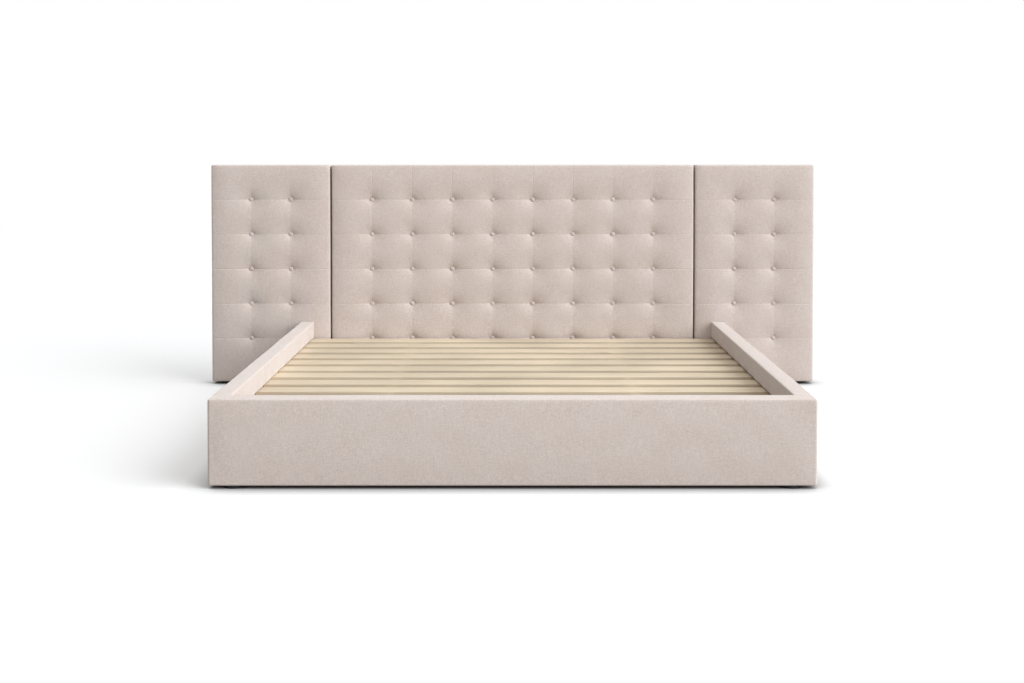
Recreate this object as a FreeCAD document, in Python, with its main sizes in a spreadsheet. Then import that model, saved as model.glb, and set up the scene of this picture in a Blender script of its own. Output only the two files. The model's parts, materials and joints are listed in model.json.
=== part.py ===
import FreeCAD, Part
import math
import os
import re

import Sketcher
from FreeCAD import Placement, Rotation, Vector

# An upholstered king bed frame: a slatted base in padded rails, and a wide tufted headboard in three panels.
# Millimetres, +Z up, +X to the right seen from the foot end, +Y towards the headboard.
# The origin is on the floor, in the middle of the bed's footprint.

SIZES = {
    # Mattress well and the padded rails around it
    "well_width": 1968,
    "well_length": 2032,
    "rail_height": 296,
    "rail_padding": 15,
    "rail_edge_radius": 12,
    "rail_core_thickness": 36,
    "cover_lap": 76,
    # Foot rail: a glued box of two boards on battens
    "foot_board_thickness": 15,
    "foot_batten_height": 45,
    "foot_batten_depth": 28,
    "foot_stile_width": 60,
    "foot_stile_count": 4,
    # Slatted deck
    "deck_drop": 80,
    "slat_count": 12,
    "slat_width": 100,
    "slat_thickness": 20,
    "slat_edge_radius": 4,
    "slat_end_gap": 3,
    "deck_end_gap": 10,
    "ledger_depth": 22,
    "ledger_height": 40,
    "webbing_width": 30,
    "webbing_thickness": 1.5,
    "webbing_half_spacing": 480,
    # Head rail
    "head_rail_lift": 10,
    "pad_gap": 0.5,
    # Corner brackets
    "bracket_leg": 60,
    "bracket_thickness": 4,
    "bracket_height": 110,
    "bracket_drop": 10,
    "bracket_hole_inset": 20,
    "bracket_hole_spacing": 70,
    # Centre beam and its hangers
    "beam_width": 40,
    "beam_height": 60,
    "beam_wall": 2.5,
    "beam_end_gap": 4,
    "hanger_thickness": 3,
    "hanger_depth": 40,
    "hanger_flange": 30,
    "hanger_gap": 0.5,
    "hanger_hole_spacing": 36,
    # Support legs and their levellers
    "leg_spacing": 700,
    "leg_diameter": 38,
    "leg_wall": 2,
    "leg_lift": 30,
    "leg_plate_length": 110,
    "leg_plate_thickness": 4,
    "leg_bolt_spacing": 80,
    "plug_depth": 22,
    "plug_flange": 3,
    "stem_diameter": 10,
    "stem_length": 72,
    "stem_hex_width": 17,
    "stem_hex_height": 7,
    "leveller_diameter": 50,
    "leveller_height": 10,
    "leveller_floor": 4,
    "leveller_chamfer": 2,
    "running_gap": 0.05,
    "hex_gap": 0.3,
    # Feet
    "foot_height": 12,
    "foot_diameter": 80,
    "foot_chamfer": 2,
    "foot_end_inset": 45,
    "small_foot_diameter": 50,
    "rail_foot_end_inset": 120,
    "panel_foot_inset": 31,
    "foot_screw_recess": 4,
    # Headboard panels
    "centre_width": 1792,
    "wing_width": 588,
    "panel_gap": 8,
    "panel_height": 1076,
    "pad_depth": 42,
    "edge_wrap": 10,
    "panel_edge_radius": 14,
    "board_thickness": 12,
    "batten_depth": 44,
    "batten_width": 60,
    "centre_stile_count": 4,
    "wing_stile_count": 2,
    "dust_cover_thickness": 2,
    "dust_cover_inset": 5,
    # Tufting
    "tuft_pitch": 172,
    "tuft_spacing": 200,
    "tuft_depth": 16,
    "tuft_reach": 70,
    "seam_depth": 4,
    "row_seam_depth": 5,
    "button_diameter": 24,
    "button_height": 7,
    "button_sink": 3,
    "button_gap": 0.5,
    # Joining plates across the gaps between the panels
    "plate_length": 160,
    "plate_height": 50,
    "plate_thickness": 4,
    "plate_end_inset": 200,
    "plate_hole_spacing": 26,
    # Wood screws, frame bolts and headboard bolts
    "screw_diameter": 4.5,
    "screw_length": 35,
    "screw_head_diameter": 9,
    "screw_head_height": 3,
    "screw_tip": 6,
    "bolt_diameter": 8,
    "bolt_length": 25,
    "bolt_flange_diameter": 17,
    "bolt_flange_thickness": 1.5,
    "bolt_hex_width": 13,
    "bolt_hex_height": 5.5,
    "bore_gap": 0.1,
    "headboard_bolt_inner_x": 450,
    "headboard_bolt_outer_x": 700,
    "headboard_bolt_lift": 98,
    "headboard_nut_height": 6.5,
    "spacer_diameter": 18,
    "spacer_gap": 0.3,
    # Corner radius of a hexagon as a share of its width across flats
    "hex_corner_share": 0.57735,
}

DERIVED = {
    # Levels above the floor
    "rail_top": "foot_height + rail_height",
    "core_height": "rail_height - rail_padding",
    "deck_top": "rail_top - deck_drop",
    "deck_underside": "deck_top - slat_thickness",
    "ledger_bottom": "deck_underside - ledger_height",
    "bracket_bottom": "ledger_bottom - bracket_drop - bracket_height",
    "bracket_middle": "bracket_bottom + bracket_height / 2",
    "beam_bottom": "deck_underside - beam_height",
    "beam_middle": "deck_underside - beam_height / 2",
    "leg_top": "beam_bottom - leg_plate_thickness",
    "headboard_bolt_z": "foot_height + headboard_bolt_lift",
    "plate_low_z": "foot_height + plate_end_inset",
    "plate_high_z": "foot_height + panel_height - plate_end_inset",
    # Lines across the bed
    "core_inner_x": "well_width / 2 + rail_padding",
    "core_outer_x": "core_inner_x + rail_core_thickness",
    "base_half_width": "core_outer_x + rail_padding",
    "side_rail_depth": "rail_core_thickness + 2 * rail_padding",
    "slat_length": "2 * (core_inner_x - slat_end_gap)",
    "bracket_hole_reach": "bracket_leg - bracket_hole_inset",
    "hanger_half_width": "beam_width / 2 + hanger_gap + hanger_thickness",
    "wing_x": "centre_width / 2 + panel_gap + wing_width / 2",
    "seam_x": "centre_width / 2 + panel_gap / 2",
    "plate_hole_x": "panel_gap / 2 + edge_wrap + batten_width / 2",
    "front_foot_x": "base_half_width - foot_end_inset - foot_diameter / 2",
    "rail_foot_x": "core_inner_x + rail_core_thickness / 2",
    # Lines along the bed
    "foot_box_depth": "2 * foot_board_thickness + foot_batten_depth",
    "foot_rail_depth": "foot_box_depth + 2 * rail_padding",
    "panel_depth": "pad_depth + board_thickness + batten_depth",
    "bed_length": "foot_rail_depth + well_length + panel_depth + dust_cover_thickness + plate_thickness",
    "foot_front_y": "-bed_length / 2",
    "foot_box_y": "foot_front_y + rail_padding",
    "foot_bare_y": "foot_box_y + foot_box_depth",
    "well_foot_y": "foot_bare_y + rail_padding",
    "headboard_y": "well_foot_y + well_length",
    "board_y": "headboard_y + pad_depth",
    "batten_y": "board_y + board_thickness",
    "panel_back_y": "batten_y + batten_depth",
    "plate_y": "panel_back_y + dust_cover_thickness",
    "head_rail_back_y": "headboard_y - pad_gap",
    "head_rail_y": "head_rail_back_y - rail_core_thickness",
    "side_rail_length": "well_length - pad_gap",
    "first_slat_y": "well_foot_y + deck_end_gap",
    "slat_pitch": "(well_length - 2 * deck_end_gap - slat_width) / (slat_count - 1)",
    "rail_foot_y": "head_rail_y - rail_foot_end_inset",
    "panel_foot_y": "panel_back_y - small_foot_diameter / 2",
    # Round pieces
    "screw_head_radius": "screw_head_diameter / 2",
    "screw_radius": "screw_diameter / 2",
    "bolt_radius": "bolt_diameter / 2",
    "leg_bore": "leg_diameter / 2 - leg_wall",
    "button_sphere": "(button_diameter ^ 2 / 4 + button_height ^ 2) / (2 * button_height)",
    "spacer_length": "pad_gap + pad_depth",
    "headboard_bolt_length": "rail_core_thickness + spacer_length + board_thickness + headboard_nut_height",
}

# Functions that a formula may use beside the names of sizes
FUNCTIONS = ("asin",)

# Heights of the sections through one row of tufted cells, and through a rounded panel edge
CELL_LEVEL_SHARES = (0, 0.15, 0.33, 0.67, 0.85)
EDGE_LEVEL_SHARES = (0, 0.1, 0.4, 1)
# No section through the cells comes nearer to a panel edge than this share of its radius
EDGE_CLEAR_SHARE = 1.5

UP = Vector(0, 0, 1)
DOWN = Vector(0, 0, -1)
RIGHT = Vector(1, 0, 0)
LEFT = Vector(-1, 0, 0)
HEADWARD = Vector(0, 1, 0)
FOOTWARD = Vector(0, -1, 0)
SIDES = {"left": -1, "right": 1}

doc = FreeCAD.newDocument("bed_frame")
sheet = doc.addObject("Spreadsheet::Sheet", "sizes")
pieces = []
bores = []


def fill_sheet():
    """Put the driving sizes in the sheet, and under them the sizes that follow from them."""
    rows = {**SIZES, **{name: "=" + text for name, text in DERIVED.items()}}
    for row, (name, content) in enumerate(rows.items(), start=1):
        sheet.set(f"A{row}", name)
        sheet.set(f"B{row}", str(content))
        sheet.setAlias(f"B{row}", name)
    doc.recompute()


def formula(text):
    """Point every size name in a sum at its cell."""
    return re.sub(r"[a-z_]{2,}", lambda word: word[0] if word[0] in FUNCTIONS else "sizes." + word[0], text)


def number(text):
    """Work a sum of size names out."""
    return float(sheet.evalExpression(formula(text)))


def point(x, y, z):
    return Vector(number(x), number(y), number(z))


def bind(item, **sums):
    for name, text in sums.items():
        item.setExpression(name, formula(text))


def place(item, corner, turn=0):
    """Turn an item about the vertical and bind its corner to the sheet."""
    item.Placement = Placement(Vector(), Rotation(UP, turn))
    for axis, text in zip("xyz", corner):
        item.setExpression("Placement.Base." + axis, formula(text))


def keep(item, label):
    """Name a finished sub-part and list it for writing."""
    item.Label = label
    pieces.append(item)
    return item


# Solids made from Part primitives

def box(name, size, corner):
    item = doc.addObject("Part::Box", name)
    bind(item, Length=size[0], Width=size[1], Height=size[2])
    place(item, corner)
    return item


def cylinder(name, radius, height, corner=("0", "0", "0")):
    item = doc.addObject("Part::Cylinder", name)
    bind(item, Radius=radius, Height=height)
    place(item, corner)
    return item


def hexagon(name, width, height, corner=("0", "0", "0")):
    item = doc.addObject("Part::Prism", name)
    item.Polygon = 6
    bind(item, Circumradius=f"({width}) * hex_corner_share", Height=height)
    place(item, corner)
    return item


def fused(name, parts):
    item = doc.addObject("Part::MultiFuse", name)
    item.Shapes = parts
    return item


def grouped(name, parts):
    item = doc.addObject("Part::Compound", name)
    item.Links = parts
    return item


def shaped(name, shape, corner=None):
    """Keep a shape worked out in this file as an object of the document."""
    item = doc.addObject("Part::Feature", name)
    item.Shape = shape
    if corner:
        place(item, corner)
    return item


def drilled(name, blank):
    """Cut every fastener bore that crosses a blank."""
    doc.recompute()
    crossing = [bore for bore in bores if bore.BoundBox.intersect(blank.Shape.BoundBox)]
    if not crossing:
        return blank
    item = doc.addObject("Part::Cut", name)
    item.Base = blank
    item.Tool = shaped(name + "_bores", Part.makeCompound(crossing))
    return item


# Solids made as bodies with sketches

def new_body(name):
    return doc.addObject("PartDesign::Body", name)


def new_sketch(body, role):
    sketch = body.newObject("Sketcher::SketchObject", body.Name + "_sketch")
    plane = next(item for item in body.Origin.OriginFeatures if item.Role == role)
    sketch.AttachmentSupport = [(plane, "")]
    sketch.MapMode = "FlatFace"
    return sketch


def hold(sketch, line, kind, axis, text):
    """Fix the start of a line at a distance from an axis, or on the axis itself."""
    if text == "0":
        sketch.addConstraint(Sketcher.Constraint("PointOnObject", line, 1, axis))
        return
    index = sketch.addConstraint(Sketcher.Constraint(kind, -1, 1, line, 1, number(text)))
    sketch.setExpression(f"Constraints[{index}]", formula(text))


def outline(body, role, *loops):
    """Draw closed polygons on an origin plane: each corner is a pair of sums, across and up."""
    sketch = new_sketch(body, role)
    for corners in loops:
        first = sketch.GeometryCount
        count = len(corners)
        spots = [Vector(number(across), number(up), 0) for across, up in corners]
        for k in range(count):
            sketch.addGeometry(Part.LineSegment(spots[k], spots[(k + 1) % count]))
        for k in range(count):
            sketch.addConstraint(Sketcher.Constraint("Coincident", first + k, 2, first + (k + 1) % count, 1))
        for k, (across, up) in enumerate(corners):
            hold(sketch, first + k, "DistanceX", -2, across)
            hold(sketch, first + k, "DistanceY", -1, up)
    return sketch


def rings(body, role, *radii):
    """Draw circles about the origin of a plane."""
    sketch = new_sketch(body, role)
    for radius in radii:
        ring = sketch.addGeometry(Part.Circle(Vector(), Vector(0, 0, 1), number(radius)))
        sketch.addConstraint(Sketcher.Constraint("Coincident", ring, 3, -1, 1))
        index = sketch.addConstraint(Sketcher.Constraint("Radius", ring, number(radius)))
        sketch.setExpression(f"Constraints[{index}]", formula(radius))
    return sketch


def rectangle(left, low, right, high):
    return [(left, low), (right, low), (right, high), (left, high)]


def extrude(body, sketch, length, backwards=False):
    pad = body.newObject("PartDesign::Pad", body.Name + "_pad")
    pad.Profile = sketch
    pad.Reversed = backwards
    bind(pad, Length=length)
    doc.recompute()
    return pad


def hollow(body, sketch, depth):
    """Cut upwards from the base plane, and make sure that the cut took something away."""
    before = body.Shape.Volume
    pocket = body.newObject("PartDesign::Pocket", body.Name + "_pocket")
    pocket.Profile = sketch
    pocket.Reversed = True
    bind(pocket, Length=depth)
    doc.recompute()
    if body.Shape.Volume >= before:
        raise RuntimeError(f"{body.Name}: the pocket cut nothing")
    return pocket


def turned(name, corners):
    """Turn a half profile of radius and height about the vertical."""
    body = new_body(name)
    lathe = body.newObject("PartDesign::Revolution", name + "_turn")
    sketch = outline(body, "XZ_Plane", corners)
    lathe.Profile = sketch
    lathe.ReferenceAxis = (sketch, ["V_Axis"])
    doc.recompute()
    return body


def edges_at(feature, **planes):
    """Name the edges of a feature that lie in all the given planes."""
    levels = {axis: number(text) for axis, text in planes.items()}
    names = []
    for index, edge in enumerate(feature.Shape.Edges, start=1):
        spots = [corner.Point for corner in edge.Vertexes]
        if all(math.isclose(getattr(spot, axis), level, abs_tol=number("running_gap"))
               for spot in spots for axis, level in levels.items()):
            names.append(f"Edge{index}")
    return names


def round_edges(body, feature, edges, radius):
    fillet = body.newObject("PartDesign::Fillet", body.Name + "_fillet")
    fillet.Base = (feature, edges)
    bind(fillet, Radius=radius)
    doc.recompute()
    return fillet


# Fasteners: where each one's head sits, and which way it points

def stand(spot, direction):
    """Stand a piece made along +Z at a spot, pointing in a direction."""
    return Placement(spot, Rotation(UP, direction))


def slat_middle(index):
    return number("first_slat_y + slat_width / 2") + index * number("slat_pitch")


def slat_screw_spots():
    for index in range(int(number("slat_count"))):
        for side in SIDES.values():
            x = side * number("core_inner_x - ledger_depth / 2")
            yield Vector(x, slat_middle(index), number("deck_top")), DOWN


def ledger_screw_spots():
    """Screw each ledger on between every second pair of slats."""
    for index in range(0, int(number("slat_count")) - 1, 2):
        y = slat_middle(index) + number("slat_pitch / 2")
        z = number("ledger_bottom + ledger_height / 2")
        for side, way in ((-1, LEFT), (1, RIGHT)):
            yield Vector(side * number("core_inner_x - ledger_depth"), y, z), way


def hanger_screw_spots():
    ends = (("foot_bare_y + hanger_thickness", FOOTWARD), ("head_rail_y - hanger_thickness", HEADWARD))
    for y, way in ends:
        for side in SIDES.values():
            for rise in (-1, 1):
                x = side * number("hanger_half_width + hanger_flange / 2")
                z = number("beam_middle") + rise * number("hanger_hole_spacing / 2")
                yield Vector(x, number(y), z), way


def plate_screw_spots():
    for seam in SIDES.values():
        for level in ("plate_low_z", "plate_high_z"):
            for side in SIDES.values():
                for rise in (-1, 1):
                    x = seam * number("seam_x") + side * number("plate_hole_x")
                    z = number(level) + rise * number("plate_hole_spacing / 2")
                    yield Vector(x, number("plate_y + plate_thickness"), z), FOOTWARD


def front_foot_spots():
    return [Vector(side * number("front_foot_x"), number("foot_box_y + foot_box_depth / 2"), 0)
            for side in SIDES.values()]


def rail_foot_spots():
    return [Vector(side * number("rail_foot_x"), number(y), 0)
            for side in SIDES.values() for y in ("0", "rail_foot_y")]


def panel_foot_spots():
    """Two feet under each headboard panel, the same distance in from its ends."""
    spots = []
    for middle, width in (("-wing_x", "wing_width"), ("0", "centre_width"), ("wing_x", "wing_width")):
        reach = number(f"{width} / 2 - panel_foot_inset - small_foot_diameter / 2")
        for side in SIDES.values():
            spots.append(Vector(number(middle) + side * reach, number("panel_foot_y"), 0))
    return spots


def foot_screw_spots():
    for spot in front_foot_spots() + rail_foot_spots() + panel_foot_spots():
        yield spot + point("0", "0", "foot_screw_recess"), UP


def bracket_corners():
    """Each inner corner of the base: its side, where its end piece's face is, and the way into the well."""
    for side in SIDES.values():
        yield side, "foot_bare_y", 1
        yield side, "head_rail_y", -1


def bracket_bolt_spots():
    for side, end, inward in bracket_corners():
        for rise in (-1, 1):
            z = number("bracket_middle") + rise * number("bracket_hole_spacing / 2")
            x = side * number("core_inner_x - bracket_hole_reach")
            y = number(end) + inward * number("bracket_thickness")
            yield Vector(x, y, z), Vector(0, -inward, 0)
            x = side * number("core_inner_x - bracket_thickness")
            y = number(end) + inward * number("bracket_hole_reach")
            yield Vector(x, y, z), Vector(side, 0, 0)


def leg_bolt_spots():
    for leg in (-1, 1):
        for side in (-1, 1):
            y = leg * number("leg_spacing / 2") + side * number("leg_bolt_spacing / 2")
            yield Vector(0, y, number("leg_top")), UP


def headboard_bolt_spots():
    for side in SIDES.values():
        for x in ("headboard_bolt_inner_x", "headboard_bolt_outer_x"):
            yield Vector(side * number(x), number("head_rail_y"), number("headboard_bolt_z")), HEADWARD


def screw_profile(gap):
    return [
        ("0", "0"),
        (f"screw_head_radius + {gap}", "0"),
        (f"screw_radius + {gap}", "screw_head_height"),
        (f"screw_radius + {gap}", "screw_length - screw_tip"),
        ("0", f"screw_length + {gap}"),
    ]


def hex_bolt(name, length):
    """A flanged hexagon bolt that points up from its seat."""
    flange = cylinder(name + "_flange", "bolt_flange_diameter / 2", "bolt_flange_thickness",
                      ("0", "0", "-bolt_flange_thickness"))
    head = hexagon(name + "_hex", "bolt_hex_width", "bolt_hex_height",
                   ("0", "0", "-bolt_flange_thickness - bolt_hex_height"))
    shank = cylinder(name + "_shank", "bolt_radius", length)
    return fused(name, [flange, head, shank])


def copies(master, spots):
    """Set a copy of a master shape at each spot."""
    shapes = []
    for spot, way in spots:
        copy = master.Shape.copy()
        copy.Placement = stand(spot, way).multiply(copy.Placement)
        shapes.append(copy)
    return shapes


def make_fasteners():
    """Set out all fasteners, and the bores that they need in what they pass through."""
    screw = turned("wood_screw", screw_profile("0"))
    screw_bore = turned("screw_bore", screw_profile("bore_gap"))
    bolt = hex_bolt("frame_bolt", "bolt_length")
    bolt_bore = cylinder("bolt_bore", "bolt_radius + bore_gap", "bolt_length + bore_gap")
    long_bolt = hex_bolt("headboard_bolt", "headboard_bolt_length")
    long_bore = cylinder("headboard_bolt_bore", "bolt_radius + bore_gap", "headboard_bolt_length + bore_gap")
    spacer_bore = cylinder("spacer_bore", "spacer_diameter / 2 + spacer_gap", "spacer_length",
                           ("0", "0", "rail_core_thickness"))
    doc.recompute()

    screw_spots = [*slat_screw_spots(), *ledger_screw_spots(), *hanger_screw_spots(), *plate_screw_spots(),
                   *foot_screw_spots()]
    bolt_spots = [*bracket_bolt_spots(), *leg_bolt_spots()]
    long_spots = list(headboard_bolt_spots())
    keep(shaped("wood_screws", Part.makeCompound(copies(screw, screw_spots))), "wood_screws")
    keep(shaped("frame_bolts", Part.makeCompound(copies(bolt, bolt_spots))), "frame_bolts")
    bolts_and_nuts = copies(long_bolt, long_spots) + copies(headboard_nut(), long_spots)
    keep(shaped("headboard_bolts", Part.makeCompound(bolts_and_nuts)), "headboard_bolts")
    bores.extend(copies(screw_bore, screw_spots))
    bores.extend(copies(bolt_bore, bolt_spots))
    bores.extend(copies(long_bore, long_spots))
    make_spacers(long_spots)
    bores.extend(copies(spacer_bore, long_spots))


def make_spacers(spots):
    """A sleeve round each headboard bolt, through the padding from the head rail to the board."""
    sleeve = turned("headboard_spacer", [
        ("bolt_radius + bore_gap", "rail_core_thickness"),
        ("spacer_diameter / 2", "rail_core_thickness"),
        ("spacer_diameter / 2", "rail_core_thickness + spacer_length"),
        ("bolt_radius + bore_gap", "rail_core_thickness + spacer_length"),
    ])
    keep(shaped("headboard_spacers", Part.makeCompound(copies(sleeve, spots))), "headboard_spacers")


def headboard_nut():
    """A nut on the end of a headboard bolt, behind the board."""
    start = ("0", "0", "headboard_bolt_length - headboard_nut_height")
    nut = doc.addObject("Part::Cut", "headboard_nut")
    nut.Base = hexagon("headboard_nut_hex", "bolt_hex_width", "headboard_nut_height", start)
    nut.Tool = cylinder("headboard_nut_bore", "bolt_radius + bore_gap", "headboard_nut_height", start)
    doc.recompute()
    return nut


# Base

def make_foot_rail():
    """A glued box of boards and battens, in a cover that laps over its inner face."""
    width = "2 * core_outer_x"
    left = "-core_outer_x"
    batten_y = "foot_box_y + foot_board_thickness"
    members = {
        "front_board": ((width, "foot_board_thickness", "core_height"), (left, "foot_box_y", "foot_height")),
        "back_board": ((width, "foot_board_thickness", "core_height"),
                       (left, "foot_bare_y - foot_board_thickness", "foot_height")),
        "bottom_batten": ((width, "foot_batten_depth", "foot_batten_height"),
                          (left, batten_y, "foot_height")),
        "top_batten": ((width, "foot_batten_depth", "foot_batten_height"),
                       (left, batten_y, "foot_height + core_height - foot_batten_height")),
    }
    for index in range(int(number("foot_stile_count"))):
        step = f"{index} * (2 * core_outer_x - foot_stile_width) / (foot_stile_count - 1)"
        members[f"stile_{index + 1}"] = (
            ("foot_stile_width", "foot_batten_depth", "core_height - 2 * foot_batten_height"),
            (f"-core_outer_x + {step}", batten_y, "foot_height + foot_batten_height"),
        )
    solids = []
    for name, (size, corner) in members.items():
        solids.append(drilled("foot_rail_" + name, box("foot_rail_" + name + "_blank", size, corner)))
    keep(grouped("foot_rail_box", solids), "foot_rail_box")

    body = new_body("foot_rail_cover")
    block = extrude(body, outline(body, "YZ_Plane", rectangle("0", "0", "foot_rail_depth", "rail_height")),
                    "2 * base_half_width")
    rounded = set(edges_at(block, z="rail_height"))
    for end in ("0", "2 * base_half_width"):
        rounded.update(edges_at(block, x=end, y="0"))
    round_edges(body, block, sorted(rounded), "rail_edge_radius")
    hollow(body, outline(body, "XY_Plane", rectangle(
        "rail_padding", "rail_padding",
        "2 * base_half_width - rail_padding", "foot_rail_depth - rail_padding")),
        "core_height")
    hollow(body, outline(body, "XY_Plane", rectangle(
        "base_half_width - core_inner_x", "foot_rail_depth - rail_padding",
        "base_half_width + core_inner_x", "foot_rail_depth")),
        "rail_height - cover_lap")
    place(body, ("-base_half_width", "foot_front_y", "foot_height"))
    keep(body, "foot_rail_cover")


def make_side_rail(name, side):
    """A timber core in a cover that goes down its outer face and laps over the top of its inner face."""
    inner = "core_inner_x" if side > 0 else "-core_outer_x"
    core = box(f"side_rail_core_{name}_blank", ("rail_core_thickness", "side_rail_length", "core_height"),
               (inner, "well_foot_y", "foot_height"))
    keep(drilled(f"side_rail_core_{name}", core), f"side_rail_core_{name}")

    body = new_body(f"side_rail_cover_{name}")
    inner_face = "rail_padding + rail_core_thickness"
    strip = extrude(body, outline(body, "XZ_Plane", [
        ("0", "0"),
        ("rail_padding", "0"),
        ("rail_padding", "core_height"),
        (inner_face, "core_height"),
        (inner_face, "rail_height - cover_lap"),
        ("side_rail_depth", "rail_height - cover_lap"),
        ("side_rail_depth", "rail_height"),
        ("0", "rail_height"),
    ]), "side_rail_length", backwards=True)
    rounded = edges_at(strip, x="0", z="rail_height") + edges_at(strip, x="side_rail_depth", z="rail_height")
    round_edges(body, strip, rounded, "rail_edge_radius")
    if side < 0:
        place(body, ("-base_half_width", "well_foot_y", "foot_height"))
    else:
        place(body, ("base_half_width", "head_rail_back_y", "foot_height"), turn=180)
    keep(body, f"side_rail_cover_{name}")

    inner = "core_inner_x - ledger_depth" if side > 0 else "-core_inner_x"
    ledger = box(f"ledger_{name}_blank", ("ledger_depth", "head_rail_y - well_foot_y", "ledger_height"),
                 (inner, "well_foot_y", "ledger_bottom"))
    keep(drilled(f"ledger_{name}", ledger), f"ledger_{name}")


def make_head_rail():
    """A bare board that closes the base under the mattress and carries the headboard."""
    board = box("head_rail_blank",
                ("2 * core_inner_x", "rail_core_thickness", "deck_underside - foot_height - head_rail_lift"),
                ("-core_inner_x", "head_rail_y", "foot_height + head_rail_lift"))
    keep(drilled("head_rail", board), "head_rail")


def make_corner_brackets():
    """A steel angle in each inner corner of the base."""
    turns = {(-1, 1): 0, (1, 1): 90, (1, -1): 180, (-1, -1): 270}
    for side, end, inward in bracket_corners():
        name = f"corner_bracket_{'foot' if inward > 0 else 'head'}_{'left' if side < 0 else 'right'}"
        body = new_body(name + "_blank")
        extrude(body, outline(body, "XY_Plane", [
            ("0", "0"),
            ("bracket_leg", "0"),
            ("bracket_leg", "bracket_thickness"),
            ("bracket_thickness", "bracket_thickness"),
            ("bracket_thickness", "bracket_leg"),
            ("0", "bracket_leg"),
        ]), "bracket_height")
        place(body, (f"{side} * core_inner_x", end, "bracket_bottom"), turn=turns[side, inward])
        keep(drilled(name, body), name)


def make_slats():
    """Softwood slats with eased edges across the ledgers, joined by two straps underneath."""
    for index in range(int(number("slat_count"))):
        name = f"slat_{index + 1:02d}"
        body = new_body(name + "_blank")
        plank = extrude(body, outline(body, "YZ_Plane", rectangle("0", "0", "slat_width", "slat_thickness")),
                        "slat_length")
        eased = [edge for y in ("0", "slat_width") for edge in edges_at(plank, y=y, z="slat_thickness")]
        round_edges(body, plank, eased, "slat_edge_radius")
        place(body, ("-slat_length / 2", f"first_slat_y + {index} * slat_pitch", "deck_underside"))
        keep(drilled(name, body), name)
    straps = []
    for name, side in SIDES.items():
        size = ("webbing_width", "head_rail_y - first_slat_y - deck_end_gap", "webbing_thickness")
        corner = (f"{side} * webbing_half_spacing - webbing_width / 2", "first_slat_y",
                  "deck_underside - webbing_thickness")
        straps.append(box(f"webbing_{name}", size, corner))
    keep(grouped("slat_webbing", straps), "slat_webbing")


def make_centre_beam():
    """A steel tube down the middle of the deck, in a hanger at each end."""
    body = new_body("centre_beam_blank")
    section = outline(
        body, "XZ_Plane", rectangle("0", "0", "beam_width", "beam_height"),
        rectangle("beam_wall", "beam_wall", "beam_width - beam_wall", "beam_height - beam_wall"))
    extrude(body, section, "head_rail_y - foot_bare_y - 2 * beam_end_gap", backwards=True)
    place(body, ("-beam_width / 2", "foot_bare_y + beam_end_gap", "beam_bottom"))
    keep(drilled("centre_beam", body), "centre_beam")

    for name, y, turn in (("foot", "foot_bare_y", 0), ("head", "head_rail_y", 180)):
        keep(drilled("beam_hanger_" + name, make_hanger(name, y, turn)), "beam_hanger_" + name)


def make_hanger(name, y, turn):
    """A folded steel saddle: a trough for the beam's end with a flange to each side."""
    body = new_body(f"beam_hanger_{name}_blank")
    trough_left = "hanger_flange"
    trough_right = "hanger_flange + 2 * hanger_half_width"
    width = "2 * hanger_flange + 2 * hanger_half_width"
    height = "beam_height + hanger_gap + hanger_thickness"
    extrude(body, outline(body, "XZ_Plane", rectangle("0", "0", width, height)), "hanger_thickness",
            backwards=True)
    extrude(body, outline(body, "XZ_Plane", [
        (trough_left, "0"),
        (trough_right, "0"),
        (trough_right, height),
        (trough_right + " - hanger_thickness", height),
        (trough_right + " - hanger_thickness", "hanger_thickness"),
        (trough_left + " + hanger_thickness", "hanger_thickness"),
        (trough_left + " + hanger_thickness", height),
        (trough_left, height),
    ]), "hanger_depth", backwards=True)
    corner_x = "-hanger_half_width - hanger_flange" if turn == 0 else "hanger_half_width + hanger_flange"
    place(body, (corner_x, y, "beam_bottom - hanger_gap - hanger_thickness"), turn=turn)
    return body


def make_support_leg(name, y):
    """A steel leg under the beam, with a screw leveller in a plug at its lower end."""
    plate = box(f"leg_plate_{name}", ("beam_width", "leg_plate_length", "leg_plate_thickness"),
                ("-beam_width / 2", f"{y} - leg_plate_length / 2", "leg_top"))
    tube = new_body(f"leg_tube_{name}")
    extrude(tube, rings(tube, "XY_Plane", "leg_diameter / 2", "leg_bore"), "leg_top - leg_lift")
    place(tube, ("0", y, "leg_lift"))
    leg = drilled(f"support_leg_{name}", fused(f"support_leg_{name}_blank", [plate, tube]))
    keep(leg, f"support_leg_{name}")

    plug = turned(f"leg_plug_{name}", [
        ("stem_diameter / 2 + running_gap", "0"),
        ("leg_diameter / 2", "0"),
        ("leg_diameter / 2", "plug_flange"),
        ("leg_bore", "plug_flange"),
        ("leg_bore", "plug_flange + plug_depth"),
        ("stem_diameter / 2 + running_gap", "plug_flange + plug_depth"),
    ])
    place(plug, ("0", y, "leg_lift - plug_flange"))
    keep(plug, f"leg_plug_{name}")

    rod = cylinder(f"leveller_rod_{name}", "stem_diameter / 2", "stem_length", ("0", y, "leveller_floor"))
    nut = hexagon(f"leveller_hex_{name}", "stem_hex_width", "stem_hex_height",
                  ("0", y, "leveller_height + hex_gap"))
    keep(fused(f"leveller_stem_{name}", [rod, nut]), f"leveller_stem_{name}")

    pad = turned(f"leveller_pad_{name}", [
        ("0", "0"),
        ("leveller_diameter / 2 - leveller_chamfer", "0"),
        ("leveller_diameter / 2", "leveller_chamfer"),
        ("leveller_diameter / 2", "leveller_height - leveller_chamfer"),
        ("leveller_diameter / 2 - leveller_chamfer", "leveller_height"),
        ("stem_diameter / 2 + running_gap", "leveller_height"),
        ("stem_diameter / 2 + running_gap", "leveller_floor"),
        ("0", "leveller_floor"),
    ])
    place(pad, ("0", y, "0"))
    keep(pad, f"leveller_pad_{name}")


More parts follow.
